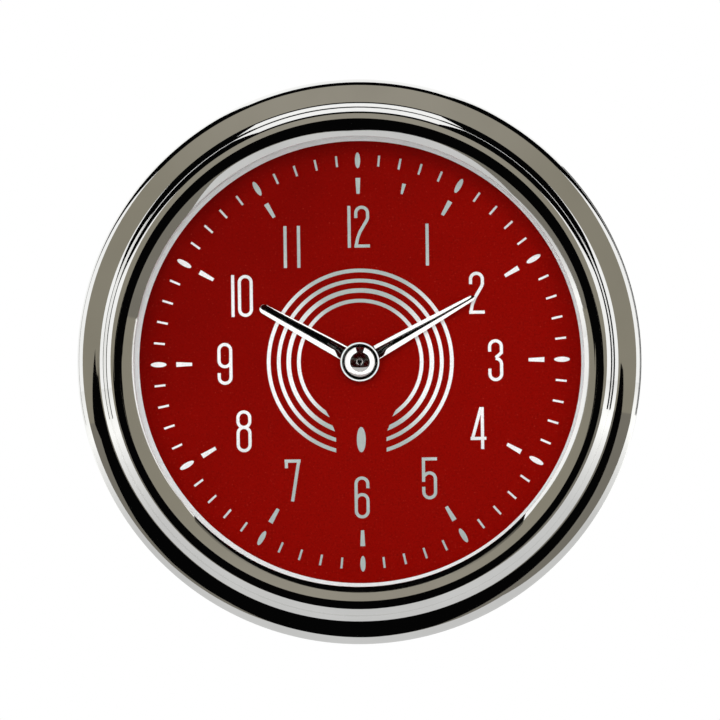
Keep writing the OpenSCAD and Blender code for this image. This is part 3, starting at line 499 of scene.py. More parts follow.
def by_nodes(mesh, tree, crease=30, **values):
    """A plain mesh from a tree, with its inputs set by name through their identifiers."""
    work = in_scene("work", mesh)
    change = work.modifiers.new("nodes", "NODES")
    change.node_group = tree
    for item in tree.interface.items_tree:
        key = item.name.replace(" ", "_")
        if item.in_out == "INPUT" and key in values:
            change[item.identifier] = values[key]
    return creased(settled(work), crease)


RING, UNION = ring_tree(), union_tree()

# Bezel, glass and ring


def lean(centre, radius, tilt):
    """A point on a circle whose normal tilts outwards from the axis by that many degrees."""
    return (centre[0] + radius * sin(radians(tilt)), centre[1] + radius * cos(radians(tilt)))


def roll(centre, radius, start, end, steps):
    """Points on a circle from one tilt of its normal to another."""
    return [lean(centre, radius, tilt) for tilt in even(start, end, steps)]


SHOULDER_R, FACE_R, HOLLOW_R, CROWN_OUT_R, CROWN_IN_R = 1.75, 5.75, 0.7, 1.05, 1.5
SHOULDER_TILT, FACE_TILT, STEP_TILT, STEEPEST, INNER_TILT = 35, 18, 55, 65, 40
STEP_R = 5.24        # the step's own slight bow, hollow below and full above


def bezel_profile():
    """From the seat round the outside: shoulder, broad face, hollow, step, crown and lip."""
    flat = {t: cos(radians(t)) for t in (SHOULDER_TILT, FACE_TILT, STEP_TILT, STEEPEST)}
    rise = (SHOULDER_R * flat[SHOULDER_TILT] + FACE_R * (flat[FACE_TILT] - flat[SHOULDER_TILT])
            + HOLLOW_R * (flat[FACE_TILT] - flat[STEP_TILT])
            + 2 * STEP_R * (flat[STEP_TILT] - flat[STEEPEST]) + CROWN_OUT_R * (1 - flat[STEP_TILT]))
    shoulder = (BEZEL_R - SHOULDER_R, BEZEL_FRONT - rise)
    face = lean(shoulder, SHOULDER_R - FACE_R, SHOULDER_TILT)
    hollow = lean(face, FACE_R + HOLLOW_R, FACE_TILT)
    lower = lean(hollow, STEP_R - HOLLOW_R, STEP_TILT)
    upper = lean(lower, -2 * STEP_R, STEEPEST)
    crown = lean(upper, STEP_R - CROWN_OUT_R, STEP_TILT)
    inner = (crown[0], crown[1] + CROWN_OUT_R - CROWN_IN_R)
    edge, lip = lean(inner, CROWN_IN_R, -INNER_TILT), (LIP_R, LIP_BACK + LIP_EDGE_T)
    reach = (edge[0] - LIP_R) / 2
    pull = (edge[0] - reach, edge[1] - reach * tan(radians(INNER_TILT)))
    bend = [tuple((1 - t) ** 2 * e + 2 * t * (1 - t) * p + t * t * q for e, p, q in zip(edge, pull, lip))
            for t in even(0, 1, 12)[1:]]
    made = [(SEAT_R, 0.0)] + arc((BEZEL_R - SEAT_EDGE_R, SEAT_EDGE_R), SEAT_EDGE_R, -90, 0, 8)
    parts = (
        (shoulder, SHOULDER_R, 90, SHOULDER_TILT, 24), (face, FACE_R, SHOULDER_TILT - 1, FACE_TILT, 16),
        (hollow, -HOLLOW_R, FACE_TILT + 2, STEP_TILT, 20), (lower, -STEP_R, STEP_TILT + 1, STEEPEST, 12),
        (upper, STEP_R, STEEPEST - 1, STEP_TILT, 12), (crown, CROWN_OUT_R, STEP_TILT - 2, 0, 28),
        (inner, CROWN_IN_R, -2, -INNER_TILT, 18))
    for part in parts:
        made += roll(*part)
    return (made + bend + [(LIP_R, LIP_BACK), (LENS_R + SLIP, LIP_BACK), (LENS_R + SLIP, LENS_BACK + SLIP),
                           (BEZEL_R - WALL, LENS_BACK + SLIP), (BEZEL_R - WALL, WALL), (SEAT_R, WALL)])


coated("bezel", spun("bezel", softened(bezel_profile(), 0.06, 4, 40), crease=50), "chrome", "housing")
glass = [(0, LENS_BACK), (LENS_R, LENS_BACK), (LENS_R, LENS_FRONT), (0, LENS_FRONT)]
coated("lens", spun("lens", softened(glass, 0.15), crease=20), "clear_glass", "housing")
ring = [(DIAL_VIEW_R, DIAL_FRONT), (DIAL_R, DIAL_FRONT), (DIAL_R, RING_BACK), (STACK_R, RING_BACK),
        (STACK_R, LENS_BACK), (RING_MOUTH_R, LENS_BACK), (RING_MOUTH_R, DIAL_FRONT + LEDGE_OUT_T),
        (DIAL_VIEW_R, DIAL_FRONT + LEDGE_IN_T)]
coated("spacer_ring", spun("spacer_ring", softened(ring, 0.06)), "satin_aluminium", "housing")
disc = [(DIAL_HOLE_R, DIAL_BACK), (DIAL_R, DIAL_BACK), (DIAL_R, DIAL_FRONT), (DIAL_HOLE_R, DIAL_FRONT)]
coated("dial", spun("dial", softened(disc, 0.05)), "red_dial", "housing")

# Silver print


def mark(outline):
    """A printed mark at twelve o'clock."""
    bm = bmesh.new()
    skin(bm, [[(x, y, z) for x, y in outline] for z in (DIAL_FRONT, PRINT_TOP)])
    return to_mesh("mark", bm)


def wedge(inner, outer, inner_w, outer_w):
    return [(-inner_w / 2, inner), (inner_w / 2, inner), (outer_w / 2, outer), (-outer_w / 2, outer)]


def oval(middle, length, width, steps=24):
    angles = [2 * pi * i / steps for i in range(steps)]
    return [(width / 2 * cos(a), middle + length / 2 * sin(a)) for a in angles]


def printed(name, mesh):
    return piece(name, mesh, PRINT_PAINTED_SHEEN, "housing", "red_dial")


def all_round(name, outline, **values):
    """A mark printed again and again round the dial."""
    printed(name, by_nodes(mark(outline), RING, Finish=PRINT_PAINTED_SHEEN, **values))


# Inner and outer radius of a mark, and its width at each
MINUTE_TICK = (21.0, 22.16, 0.22, 0.22)
HOUR_WEDGE = (18.0, 19.69, 0.34, 0.52)
SHORT_WEDGE, SHORT_ANGLE = (18.5, 19.63, 0.22, 0.4), 14.6
# Middle of an oval, its length and its width
HOUR_OVAL, GAP_OVAL = (21.58, 1.68, 0.55), (-8.3, 2.7, 0.95)
all_round("minute_ticks", wedge(*MINUTE_TICK), Count=60, Left_Out_Every=5)
all_round("hour_ovals", oval(*HOUR_OVAL), Count=12)
all_round("hour_wedges", wedge(*HOUR_WEDGE), Count=12)
printed("short_wedge", mark([turned(p, SHORT_ANGLE) for p in wedge(*SHORT_WEDGE)]))

BOW_R = 0.63                  # middle of a stroke along a numeral's side and its round ends
FULL = 2.24                   # half a numeral's height
HIGH = FULL - STROKE / 2      # middle of a stroke along a numeral's top edge
BEND = HIGH - BOW_R           # where a numeral's round end starts
WAIST = 0.42                  # middle of the stroke between the two rounds of an eight


def bow(height, start, end):
    """Part of a circle as a stroke's path."""
    return arc((0, height), BOW_R, start, end, 14)


# Strokes of each digit: a path, and True where it closes on itself
DIGITS = {
    "0": [(bow(BEND, 0, 180) + bow(-BEND, 180, 360), True)],
    "1": [([(0, FULL), (0, -FULL)], False)],
    "2": [([(-BOW_R, 0.93)] + bow(BEND, 180, 0) + [(BOW_R, 0.95), (0.55, 0.7), (-0.2, -0.55),
            (-0.47, -1.25), (-0.62, -2.0)], False), ([(-0.81, -HIGH), (0.84, -HIGH)], False)],
    "3": [([(-BOW_R, 0.92)] + bow(BEND, 180, 0) + [(BOW_R, 0.8), (0.02, 0.26)], False),
          ([(0.02, 0.2), (0.36, 0.09), (0.56, -0.13), (BOW_R, -0.4)] + bow(-BEND, 0, -180)
           + [(-BOW_R, -0.9)], False)],
    "4": [([(0.43, FULL), (0.43, -FULL)], False), ([(0.3, FULL - 0.02), (-0.64, -1.1)], False),
          ([(-0.84, -1.1), (0.84, -1.1)], False)],
    "5": [([(0.82, HIGH), (-BOW_R, HIGH), (-BOW_R, -0.36)], False),
          ([(-0.55, 0.3)] + bow(-0.05, 125, 0) + bow(-BEND, 0, -180) + [(-BOW_R, -0.9)], False)],
    "6": [(bow(-0.33, 0, 180) + bow(-BEND, 180, 360), True),
          ([(BOW_R, 0.98)] + bow(BEND, 0, 180) + [(-BOW_R, -0.6)], False)],
    "7": [([(-0.87, HIGH), (0.84, HIGH)], False), ([(-0.68, HIGH), (-0.68, 1.32)], False),
          ([(0.66, HIGH + 0.1), (-0.07, -FULL)], False)],
    "8": [(bow(BEND, 0, 180) + bow(WAIST + BOW_R, 180, 360), True),
          (bow(WAIST - BOW_R, 0, 180) + bow(-BEND, 180, 360), True)],
}
DIGITS["9"] = [([(-x, -y) for x, y in path], closed) for path, closed in DIGITS["6"]]
# Where each digit of an hour sits beside the numeral's middle
SPREAD = {"10": (-1.0, 0.34), "11": (-0.72, 0.72), "12": (-1.0, 0.36)}
# Hours that are printed a little off their place
OFF_PLACE = {"1": (0.09, -0.08), "7": (-0.13, -0.03), "11": (0.09, -0.13)}


def numerals():
    bm = bmesh.new()
    for hour in range(1, 13):
        word = str(hour)
        cx, cy = Vector(turned((0, NUMERAL_R), HOUR_STEP * hour)) + Vector(OFF_PLACE.get(word, (0, 0)))
        for digit, shift in zip(word, SPREAD.get(word, (0,))):
            for path, closed in DIGITS[digit]:
                moved = [(x + cx + shift, y + cy) for x, y in path]
                ribbon(bm, moved, STROKE, DIAL_FRONT, PRINT_TOP, closed)
    return by_nodes(to_mesh("numerals", bm), UNION, Finish=PRINT_PAINTED_SHEEN)


printed("numerals", numerals())

# Middle radius, width, and how far from the middle line both edges of a ring end
RINGS = ((6.57, 0.39, 3.75, 3.35), (7.66, 0.47, 3.05, 2.8), (8.72, 0.4, 2.7, 2.7), (9.8, 0.4, 2.7, 2.7))


def dial_rings():
    bm = bmesh.new()
    steps = 120
    for middle, width, inner_end, outer_end in RINGS:
        rows = []
        for r, end, heights in ((middle - width / 2, inner_end, (DIAL_FRONT, PRINT_TOP)),
                                (middle + width / 2, outer_end, (PRINT_TOP, DIAL_FRONT))):
            stop = asin(end / r)
            angles = even(stop, 2 * pi - stop, steps)
            rows += [[(r * sin(a), -r * cos(a), z) for a in angles] for z in heights]
        skin(bm, list(zip(*rows)))
    return to_mesh("dial_rings", bm)


printed("dial_rings", dial_rings())
printed("ring_gap_oval", mark(oval(*GAP_OVAL, 40)))

# Hands and hub

BEVEL = 30            # degrees that a bevel falls to the side
BEVEL_RISE = 1.0      # length along the hand over which a bevel grows to its width
BEVEL_LEAST = 0.12    # share of its width that a bevel has before it grows
ARRIS = 0.03          # half width of the rounding where a bevel meets the flat
EDGE_T = 0.03         # least thickness at a hand's edge
TIP_SHARE = 0.12      # share of its width at which a rounded tip ends
ROOT = (0.4, 4.0)     # where a hand's root begins and ends
HOUR_BOSS_R, HOUR_BORE_R = 2.0, 1.36
MINUTE_BOSS_R, MINUTE_BORE_R = 2.08, 0.96


def hand_section(along, half, left, right, base):
    """Points across a hand from left to right: its flat top falls to both sides by a bevel, given
    as its greatest width, its greatest share of the half width and where it starts at the hub."""
    top, fall, sides = base + HAND_T, tan(radians(BEVEL)), []
    for way, (widest, share, start) in ((-1, left), (1, right)):
        grown = min(1, max(0, (along - start) / BEVEL_RISE))
        width = min(widest, share * half) * max(BEVEL_LEAST, grown * grown * (3 - 2 * grown))
        soft = min(ARRIS, width / 3)
        edge = way * (half - width)
        sides.append([(way * half, base), (way * half, max(base + EDGE_T, top - width * fall)),
                      (edge + way * soft, top - soft * fall), (edge, top - soft * fall / 4),
                      (edge - way * soft, top)])
    return sides[0] + sides[1][::-1]


def hand(name, stations, left, right, boss_r, bore_r, angle, base):
    """A blade lofted through (distance, half width) stations, joined to its round boss."""
    bm = bmesh.new()
    skin(bm, [[(*turned((x, along), angle), z) for x, z in hand_section(along, half, left, right, base)]
              for along, half in stations])
    blade = to_mesh(name, bm, 8)
    top = base + HAND_T
    boss = softened([(bore_r, base), (boss_r, base), (boss_r, top), (bore_r, top)], 0.2, 8)
    whole = joined(blade, spun("boss", boss, SMALL_TURNS), "UNION", 8)
    bore = spun("bore", [(0, base - 1), (bore_r, base - 1), (bore_r, top + 1), (0, top + 1)], SMALL_TURNS)
    return weighted(joined(whole, bore, "DIFFERENCE"), 12)


def round_tip(length, half, steps=10):
    """Stations of a half-round end."""
    middle = length - half
    angles = even(0, pi / 2, steps)
    return [(middle + half * sin(a), half * max(cos(a), TIP_SHARE)) for a in angles]


def root(start_half, end_half, steps=24):
    """Stations of a hand's root, close enough to show how its bevels begin."""
    return list(zip(even(*ROOT, steps), even(start_half, end_half, steps)))


hour_stations = root(0.8, 0.735) + [(7.0, 0.655)] + round_tip(12.2, 0.5)
minute_stations = root(0.8, 0.7) + [(7.0, 0.595), (9.2, 0.5), (11.0, 0.42), (13.2, 0.33), (13.7, 0.29),
                   (13.95, 0.2), (14.1, 0.08)]
hour_blade = hand("hour_hand", hour_stations, (0.6, 0.72, 2.1), (0.14, 0.22, 0), HOUR_BOSS_R, HOUR_BORE_R,
                  HOUR_ANGLE, HOUR_Z)
minute_blade = hand("minute_hand", minute_stations, (0.36, 0.74, 1.2), (0.5, 0.74, 2.3), MINUTE_BOSS_R,
                    MINUTE_BORE_R, MINUTE_ANGLE, MINUTE_Z)
coated("hour_hand", hour_blade, "chrome", "hour_pipe")
coated("minute_hand", minute_blade, "chrome", "minute_arbor")

CAP_R, CAP_TOP, CAP_TILT = 1.6, 2.6, 36    # the dome falls to that tilt at its rim
DOME_R = CAP_R / sin(radians(CAP_TILT))
CUP_R, CUP_DEPTH = 0.36, 0.05               # the small cup in the middle of the cap
dome = roll((0, CAP_TOP - DOME_R), DOME_R, CAP_TILT, degrees(asin(CUP_R / DOME_R)), 16)
cup_z = dome[-1][1]
cap = [(0, HUB_Z), (CAP_R - 0.05, HUB_Z), (CAP_R, HUB_Z + 0.05)] + dome
cap += [(CUP_R - 0.02, cup_z), (CUP_R - 0.08, cup_z - CUP_DEPTH + 0.005), (CUP_R - 0.1, cup_z - CUP_DEPTH),
        (0, cup_z - CUP_DEPTH)]
coated("hub_cap", spun("hub_cap", cap, SMALL_TURNS, crease=20), "chrome", "minute_arbor")
# Silver collar round the cap, on the boss of the minute hand
COLLAR_IN_R, COLLAR_TOP = 1.92, HUB_Z + 0.12
collar = softened([(COLLAR_IN_R, HUB_Z), (MINUTE_BOSS_R, HUB_Z), (MINUTE_BOSS_R, COLLAR_TOP),
                   (COLLAR_IN_R, COLLAR_TOP)], 0.05)
piece("hub_collar", spun("hub_collar", collar, SMALL_TURNS), FINISHES["satin_aluminium"],
      "minute_arbor", "satin_aluminium")

# Case and rear fittings


def case_mesh():
    """The drawn shell, with the holes of its fittings in the rear wall."""
    bore, corner = CASE_R - CASE_WALL, (CASE_R - CASE_CORNER_R, CASE_BACK + CASE_CORNER_R)
    shell = [(STACK_R, FLANGE_BACK), (STACK_R, FLANGE_FRONT), (bore, FLANGE_FRONT)]
    shell += arc(corner, CASE_CORNER_R - CASE_WALL, 0, -90, 8)
    shell += [(0, CASE_BACK + CASE_WALL), (0, CASE_BACK)] + arc(corner, CASE_CORNER_R, -90, 0, 12)
    shell += [(CASE_R, FLANGE_BACK)]
    mesh = spun("case", softened(shell, 0.15, 4, 40))
    holes = bmesh.new()
    for centre, radius in HOLES:
        low, high = CASE_BACK - 1, CASE_BACK + CASE_WALL + 1
        spin(holes, [(0, low), (radius, low), (radius, high), (0, high)], SMALL_TURNS, centre)
    return joined(mesh, to_mesh("holes", holes), "DIFFERENCE")


coated("case", case_mesh(), "plated_steel", "housing")

THREAD_PITCH, THREAD_DEPTH, THREAD_FRONT = 0.7, 0.38, -31.0
STUD_POINT = 0.3     # length of the tapered end
SHANK_R = STUD_R - 0.2


def threaded_studs():
    """Two studs with a rolled thread on the length that shows."""
    finish, per_turn = STUD_BACK + STUD_POINT, 8
    rows = round((THREAD_FRONT - finish) / THREAD_PITCH * per_turn)
    angles = [2 * pi * i / SMALL_TURNS for i in range(SMALL_TURNS)]

    def flank(z, a):
        phase = (z / THREAD_PITCH + a / (2 * pi)) % 1
        return STUD_R - THREAD_DEPTH * min(1, max(0, abs(2 * phase - 1) * 1.5 - 0.25))

    rings = [(z, [SHANK_R] * SMALL_TURNS) for z in (STUD_FRONT, THREAD_FRONT + 0.2)]
    rings += [(z, [flank(z, a) for a in angles]) for z in even(THREAD_FRONT, finish, rows)]
    rings.append((STUD_BACK, [STUD_R - THREAD_DEPTH - 0.1] * SMALL_TURNS))
    bm = bmesh.new()
    for cx, cy in STUDS:
        skin(bm, [[(cx + r * cos(a), cy + r * sin(a), z) for r, a in zip(radii, angles)]
                  for z, radii in rings])
    return to_mesh("mounting_studs", bm)


coated("mounting_studs", threaded_studs(), "steel", "housing")
for name, edge in (("stud_nuts", 0.2), ("terminal_insulators", 0.2), ("lamp_socket", 0.25),
                   ("shaft_bush", 0.15), ("socket_contacts", 0.1)):
    coated(name, eased(name, edge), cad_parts[name].material_slots[0].material.name, "housing")
piece("clamp_bracket", eased("clamp_bracket", 0.3), STRAP, "clamp", "plated_steel", "clamp_bracket")
coated("clamp_washers", eased("clamp_washers", 0.12), "plated_steel", "clamp")

RIB_END = 0.3                    # how far a rib slopes at both ends
RIB_FOOT, RIB_CREST = 1.35, 0.55     # widths of a rib, as shares of its mean width


def ribbed(name, body, rib, count, centres, finish):
    """A turned body with ribs all round, one for each centre."""
    bm = bmesh.new()
    low, high, r_in, r_out, half = rib
    foot, crest = half * RIB_FOOT, half * RIB_CREST
    for centre in centres:
        spin(bm, body, SMALL_TURNS, centre)
        stem = bmesh.new()
        rows = []
        for z, reach in ((low, r_out - RIB_END), (low + RIB_END, r_out),
                         (high - RIB_END, r_out), (high, r_out - RIB_END)):
            outline = ((-foot, r_in), (-crest, reach), (crest, reach), (foot, r_in))
            rows.append([(x, y, z) for x, y in outline])
        skin(stem, rows)
        made = by_nodes(to_mesh("rib", stem, 20), RING, 20, Count=count,
                        Centre=place(centre[0], centre[1], 0), Finish=finish)
        bm.from_mesh(made)
    return to_mesh(name, bm, 30)


NUT_R, NUT_FRONT, NUT_BACK = 5.0, -41.35, -46.35
NUT_BORE_R, NUT_FACE_R, NUT_BODY_R = 2.03, 4.2, 4.62
KNOB_BORE_R, KNOB_FACE_R, KNOB_BODY_R = 1.01, 3.4, 3.85
NECK = 1.0       # length of the plain neck in front of the ribs
nut = [(NUT_BORE_R, NUT_FRONT), (NUT_FACE_R, NUT_FRONT), (NUT_FACE_R, NUT_FRONT - NECK),
       (NUT_BODY_R, NUT_FRONT - NECK), (NUT_BODY_R, NUT_BACK + 0.3), (4.3, NUT_BACK), (2.4, NUT_BACK),
       (NUT_BORE_R, NUT_BACK + 0.4)]
nut_rib = (NUT_BACK + 0.1, NUT_FRONT - NECK, 4.5, NUT_R, 0.3)
nuts = ribbed("clamp_nuts", softened(nut, 0.1), nut_rib, 36, STUDS, FINISHES["brass"])
coated("clamp_nuts", nuts, "brass", "clamp")
knob = [(KNOB_BORE_R, KNOB_FRONT), (KNOB_FACE_R, KNOB_FRONT), (KNOB_FACE_R, KNOB_FRONT - NECK),
        (KNOB_BODY_R, KNOB_FRONT - NECK), (KNOB_BODY_R, KNOB_BACK + 0.5), (KNOB_FACE_R, KNOB_BACK),
        (2.6, KNOB_BACK), (2.2, KNOB_BACK + 0.3), (0, KNOB_BACK + 0.35), (0, KNOB_BACK + 1.5),
        (KNOB_BORE_R, KNOB_BACK + 1.5)]
knob_rib = (KNOB_BACK + 0.15, KNOB_FRONT - NECK, 3.7, KNOB_R, 0.42)
knobs = ribbed("set_knob", softened(knob, 0.2), knob_rib, 24, (KNOB_AT,), FINISHES["black_resin"])
coated("set_knob", knobs, "black_resin", "setting_shaft")

BLADE_HALF, BLADE_BACK, BLADE_FRONT = 3.15, -42.5, -33.5
BLADE_HALF_T = 0.4
TIP_HALF, TIP_Z = BLADE_HALF - 0.9, BLADE_BACK + 1.2     # the chamfered end
TAIL_HALF, TAIL_FRONT = 1.5, -29.2
LATCH_R, LATCH_Z = 0.83, BLADE_BACK + 3.3


def blade_mesh():
    """Push-on supply blades with a chamfered end and a latch hole."""
    bm, holes = bmesh.new(), bmesh.new()
    side = [(BLADE_HALF, BLADE_FRONT), (BLADE_HALF, TIP_Z), (TIP_HALF, BLADE_BACK)]
    tail = [(TAIL_HALF, TAIL_FRONT), (TAIL_HALF, BLADE_FRONT)]
    outline = side + [(-x, z) for x, z in side[::-1] + tail[::-1]] + tail
    latch = arc((0, LATCH_Z), LATCH_R, 0, 345, 23)
    for cx, cy in BLADES:
        for solid, shape, half in ((bm, outline, BLADE_HALF_T), (holes, latch, 1)):
            skin(solid, [[(cx + x, cy + y, z) for x, z in shape] for y in (-half, half)])
    mesh = joined(to_mesh("blades", bm), to_mesh("holes", holes), "DIFFERENCE")
    work = in_scene("work", mesh)
    edge = work.modifiers.new("edge", "BEVEL")
    edge.width, edge.segments, edge.limit_method, edge.angle_limit = 0.12 * MM, 2, "ANGLE", radians(40)
    return weighted(settled(work))


coated("terminal_blades", blade_mesh(), "tinned_brass", "housing")

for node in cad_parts.values():
    for slot in node.material_slots:
        slot.material = FINISHES[slot.material.name.split(".")[0]]

# Studio

PHOTO_SPAN = 76.71           # width of the picture at the bezel's shoulder
SENSOR = 36.0                # width of the camera's sensor
CAMERA_AT = 1500.0           # distance to the seat
SHOULDER_Z = 5.7
SIDE_LOOK, LOW_LOOK = 1.35, 0.6   # degrees to the right of the axis and below it
ROLL = 0.77                  # degrees that the picture is turned
SHIFT_X, SHIFT_Y = 0.1, 0.16      # millimetres by which the clock sits left of and below the middle


def camera():
    data = bpy.data.cameras.new("camera")
    data.sensor_width = SENSOR
    data.lens = SENSOR * (CAMERA_AT - SHOULDER_Z) / PHOTO_SPAN
    data.clip_start, data.clip_end = 0.05, 20
    made = in_scene("camera", data)
    x, y = CAMERA_AT * sin(radians(SIDE_LOOK)), -CAMERA_AT * sin(radians(LOW_LOOK))
    eye, aim = place(x, y, CAMERA_AT), place(SHIFT_X, SHIFT_Y, SHOULDER_Z)
    look = (aim - eye).to_track_quat("-Z", "Y").to_matrix().to_4x4()
    made.matrix_world = Matrix.Translation(eye) @ look @ Matrix.Rotation(radians(-ROLL), 4, "Z")
    bpy.context.scene.camera = made


def seen_fac(tree):
    """One for rays from the camera, a mirror or glass, and nought for the light on the object."""
    path = add(tree, "ShaderNodeLightPath").outputs
    fac = path["Is Camera Ray"]
    for name in ("Is Glossy Ray", "Is Transmission Ray"):
        fac = maths(tree, "MAXIMUM", fac, path[name])
    return maths(tree, "MULTIPLY", fac, maths(tree, "LESS_THAN", path["Diffuse Depth"], 0.5))


AMBIENT = 0.5        # level of the sky on the object
PAPER_GLOW = 0.4     # level of the paper's own glow
RING_LEVEL = 1.6     # level of the hands' own light, which the glass dims at its low angle
WALL_LEVEL = 0.1     # level of the grey walls under the glass
FLOOR_HALF, FLOOR_Y = 1500, -120


def white_world():
    world = bpy.data.worlds.new("white_studio")
    bpy.context.scene.world = world
    world.use_nodes = True
    tree = world.node_tree
    tree.nodes.clear()
    level = span(tree, seen_fac(tree), target=(AMBIENT, 1.0))
    sky = add(tree, "ShaderNodeBackground", {"Color": (1, 1, 1, 1), "Strength": level})
    add(tree, "ShaderNodeOutputWorld", {"Surface": sky.outputs[0]})


def stage_mesh(name, corners, material):
    mesh = bpy.data.meshes.new(name)
    mesh.from_pydata([place(*c) for c in corners], [], [list(range(len(corners)))])
    mesh.materials.append(material)
    made = in_scene(name, mesh)
    return made


def floor():
    """Pale paper. Its own faint glow in the picture lifts it to white outside the shadow."""
    made, tree, shader = blank("white_paper")
    glow = maths(tree, "MULTIPLY", seen_fac(tree), PAPER_GLOW)
    fill(tree, shader, {"Base Color": linear("#F3F3F1"), "Roughness": 0.9, "Specular IOR Level": 0.0,
                        "Emission Color": (1, 1, 1, 1), "Emission Strength": glow})
    corners = [(x * FLOOR_HALF, FLOOR_Y, z * FLOOR_HALF) for x, z in ((-1, 1), (1, 1), (1, -1), (-1, -1))]
    stage_mesh("floor", corners, made)


def card(name, corners, hex_colour, fade=None, outside=1.0, inside=1.0):
    """A studio card that shows in metal and glass, and takes no light from the object. It has
    one level for mirrors outside the clock's glass and one for those inside, and with nought
    outside it is clear there. A fade gives the distances to the side between which it grows clear."""
    made, tree, shader = blank(name)
    path = add(tree, "ShaderNodeLightPath").outputs
    clearness = maths(tree, "GREATER_THAN", path["Diffuse Depth"], 0.5)
    # A ray that comes back out of the glass has passed its two faces twice
    under = maths(tree, "GREATER_THAN", path["Transmission Depth"], 3.5)
    if not outside:
        clearness = maths(tree, "MAXIMUM", clearness, maths(tree, "SUBTRACT", 1.0, under))
    if fade:
        across = add(tree, "ShaderNodeSeparateXYZ", {0: spot(tree)}).outputs["X"]
        faded = span(tree, maths(tree, "ABSOLUTE", across), (fade[0] * MM, fade[1] * MM))
        clearness = maths(tree, "MAXIMUM", clearness, faded)
    level = span(tree, under, target=(outside, inside))
    glow = add(tree, "ShaderNodeEmission", {"Color": linear(hex_colour), "Strength": level})
    part_clear(tree, clearness, glow)
    tree.nodes.remove(shader)
    made.cycles.emission_sampling = "NONE"
    sheet = stage_mesh(name, corners, made)
    sheet.visible_camera = sheet.visible_diffuse = sheet.visible_shadow = False


def level_card(name, y, corners, hex_colour, **settings):
    card(name, [(x, y, z) for x, z in corners], hex_colour, **settings)


def wall_card(name, x, corners, hex_colour, **settings):
    card(name, [(x, y, z) for y, z in corners], hex_colour, **settings)


def oblong(left, right, near, far):
    """The four corners of a card."""
    return ((left, near), (right, near), (right, far), (left, far))


# The studio's roof, table, side walls, and far wall, and where roof and walls begin
ROOF_Y, TABLE_Y, WALL_X, FAR_Z, NEAR_Z = 400, -100, 500, 1400, 75
WIDE, LOW_Y, HIGH_Y = 502, -103, 402  # ends of the cards, which overlap at the corners
DARK_FAR, ARCH_Y = 1390, 390     # where dark cards end, and the top of the dark arch
HANG_Y, HANG_X = 401, 600     # where dark cards hang over the roof's open part and beside the walls


def on_roof(angle, tilt):
    """Where a card over the roof shows in a mirror turned to that clock angle and that tilt."""
    across, back = radians(angle), radians(2 * tilt)
    return (HANG_Y * tan(across), HANG_Y / tan(back) / cos(across))


def on_side(angle, tilt):
    """The height and depth at which a card at the side shows in such a mirror."""
    across, back = radians(angle), radians(2 * tilt)
    return (HANG_X / tan(across), HANG_X / tan(back) / sin(across))


def side_strip(name, x, near, far, angles, hex_colour):
    """A strip at the side that shows in mirrors between two tilts."""
    edges = [on_side(a, near) for a in angles] + [on_side(a, far) for a in angles[::-1]]
    wall_card(name, x, edges, hex_colour)


def ring_light(height, inner, outer, start, end):
    """A white ring in front of the clock, open at the top, for the hands and the hub under the
    glass. Its sizes are the tilts and the clockwise angles between which it lies."""
    angles = even(start, end, 48)
    corners = [turned((0, height * tan(radians(outer))), a) for a in angles]
    corners += [turned((0, height * tan(radians(inner))), a) for a in angles[::-1]]
    card("ring_light", [(x, y, height) for x, y in corners], "#FFFFFF", outside=0.0, inside=RING_LEVEL)


def lamp(name, x, y, z, size, power):
    data = bpy.data.lights.new(name, "AREA")
    data.size, data.energy = size * MM, power
    made = in_scene(name, data)
    here = place(x, y, z)
    aim = (place(0, 0, 0) - here).to_track_quat("-Z", "Y").to_matrix().to_4x4()
    made.matrix_world = Matrix.Translation(here) @ aim
    made.visible_glossy = made.visible_camera = made.visible_transmission = False


bpy.context.scene.view_settings.view_transform = "Standard"
camera()
white_world()
floor()

# A warm grey studio in front of the clock. The roof fades to the sides into its backing, and a
# dark bar and two dark panels hang beside its open part. Strips hang at both sides, one more for
# the rim. Dark cards on walls and table show as black bands, and the table turns from dark to
# grey and to pale towards the clock. The hub table and the ring light show under the glass only.
WARM, DARK, GREY, PALE = "#8B8678", "#050505", "#77736A", "#CECECE"
ROOF = oblong(-WIDE, WIDE, NEAR_Z, FAR_Z)
level_card("roof_card", ROOF_Y, ROOF, "#979286", fade=(120, 480), inside=0.0)
level_card("roof_backing", ROOF_Y + 2, ROOF, WARM, inside=0.0)
level_card("roof_bar", HANG_Y, oblong(-240, 190, -132, NEAR_Z), DARK)
PANEL_BACK = 62.5    # tilt at which the panels' far edge shows
for name, way, inner, outer in (("right_roof_panel", 1, 18, 24), ("left_roof_panel", -1, 24, 30)):
    outline = [on_roof(a, t) for a, t in ((inner, 39.5), (45, 40.5), (60, 54.5), (75, PANEL_BACK - 0.6))]
    outline += [on_roof(a, PANEL_BACK) for a in range(75, outer - 1, -3)] + [on_roof(inner, 55)]
    level_card(name, HANG_Y, [(way * x, z) for x, z in outline], DARK)
side_strip("right_strip", HANG_X, 58.9, 62.2, range(66, 121, 6), DARK)
side_strip("left_strip", -HANG_X, 60.0, 62.2, range(66, 121, 6), "#5A5A56")
side_strip("rim_strip", HANG_X, 64.2, 72, range(45, 103, 3), DARK)
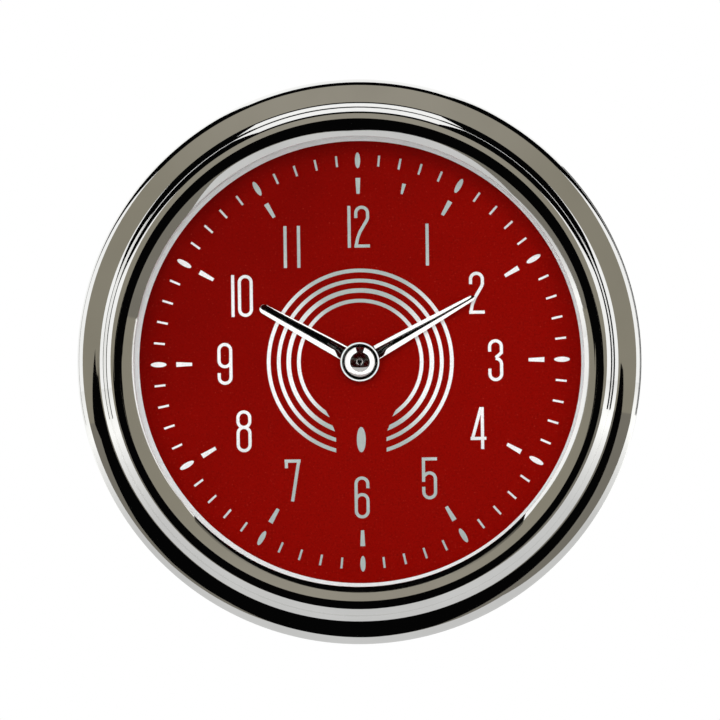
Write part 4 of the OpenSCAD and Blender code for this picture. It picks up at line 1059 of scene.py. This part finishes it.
LEFT_DARK = ((LOW_Y, 255), (-70, 295), (-42, 345), (-8, 405), (36, 486), (2, 525), (-25, 610))
RIGHT_DARK = ((LOW_Y, 425), (-88, 436), (-52, 479), (-16, 535), (0, 640))
for name, x, dark in (("left_wall", -WALL_X, LEFT_DARK), ("right_wall", WALL_X, RIGHT_DARK)):
    wall_card(name, x, oblong(LOW_Y, HIGH_Y, NEAR_Z, FAR_Z), WARM, inside=WALL_LEVEL)
    wall_card(name + "_dark", x * 0.998, dark + ((60, 730), (200, DARK_FAR), (LOW_Y, DARK_FAR)), DARK)
card("front_wall", [(x, y, FAR_Z) for x, y in oblong(-WIDE, WIDE, LOW_Y, HIGH_Y)], WARM, inside=WALL_LEVEL)
arch = [(WALL_X * cos(a), ARCH_Y * sin(a)) for a in even(0, pi, 24)[1:-1]]
arch = [(-WALL_X, LOW_Y), (WALL_X, LOW_Y), (WALL_X, 0)] + arch + [(-WALL_X, 0)]
card("front_wall_dark", [(x, y, DARK_FAR) for x, y in arch], DARK)
level_card("dark_table", TABLE_Y, (
    (0, 29), (27, 36), (58, 58), (100, 85), (173, 134), (228, 181), (WIDE, 425), (WIDE, DARK_FAR),
    (-WIDE, DARK_FAR), (-WIDE, 258), (-373, 239), (-228, 131), (-150, 72), (-100, 49), (-60, 44),
    (-36, 34)), DARK)
level_card("grey_table", TABLE_Y - 0.5, (
    (0, 29), (36, 36), (58, 43), (78, 37), (104, 27), (183, 25), (300, 29), (433, 37), (WIDE, 66),
    (WIDE, 500), (-WIDE, 500), (-WIDE, 80), (-308, 53), (-200, 36), (-128, 26), (-100, 23), (-64, 31),
    (-36, 34)), GREY)
level_card("hub_table", TABLE_Y + 1, oblong(-400, 400, -200, 207), PALE, outside=0.0)
level_card("pale_table", TABLE_Y - 1, oblong(-420, 420, -400, 66), PALE, fade=(140, 380))
ring_light(height=60, inner=45, outer=79, start=18, end=343)
lamp("left_softbox", -130, 150, 1050, 500, 5.0)
lamp("right_softbox", 130, 150, 1050, 500, 5.0)
lamp("rear_softbox", 200, 700, -700, 700, 4.0)
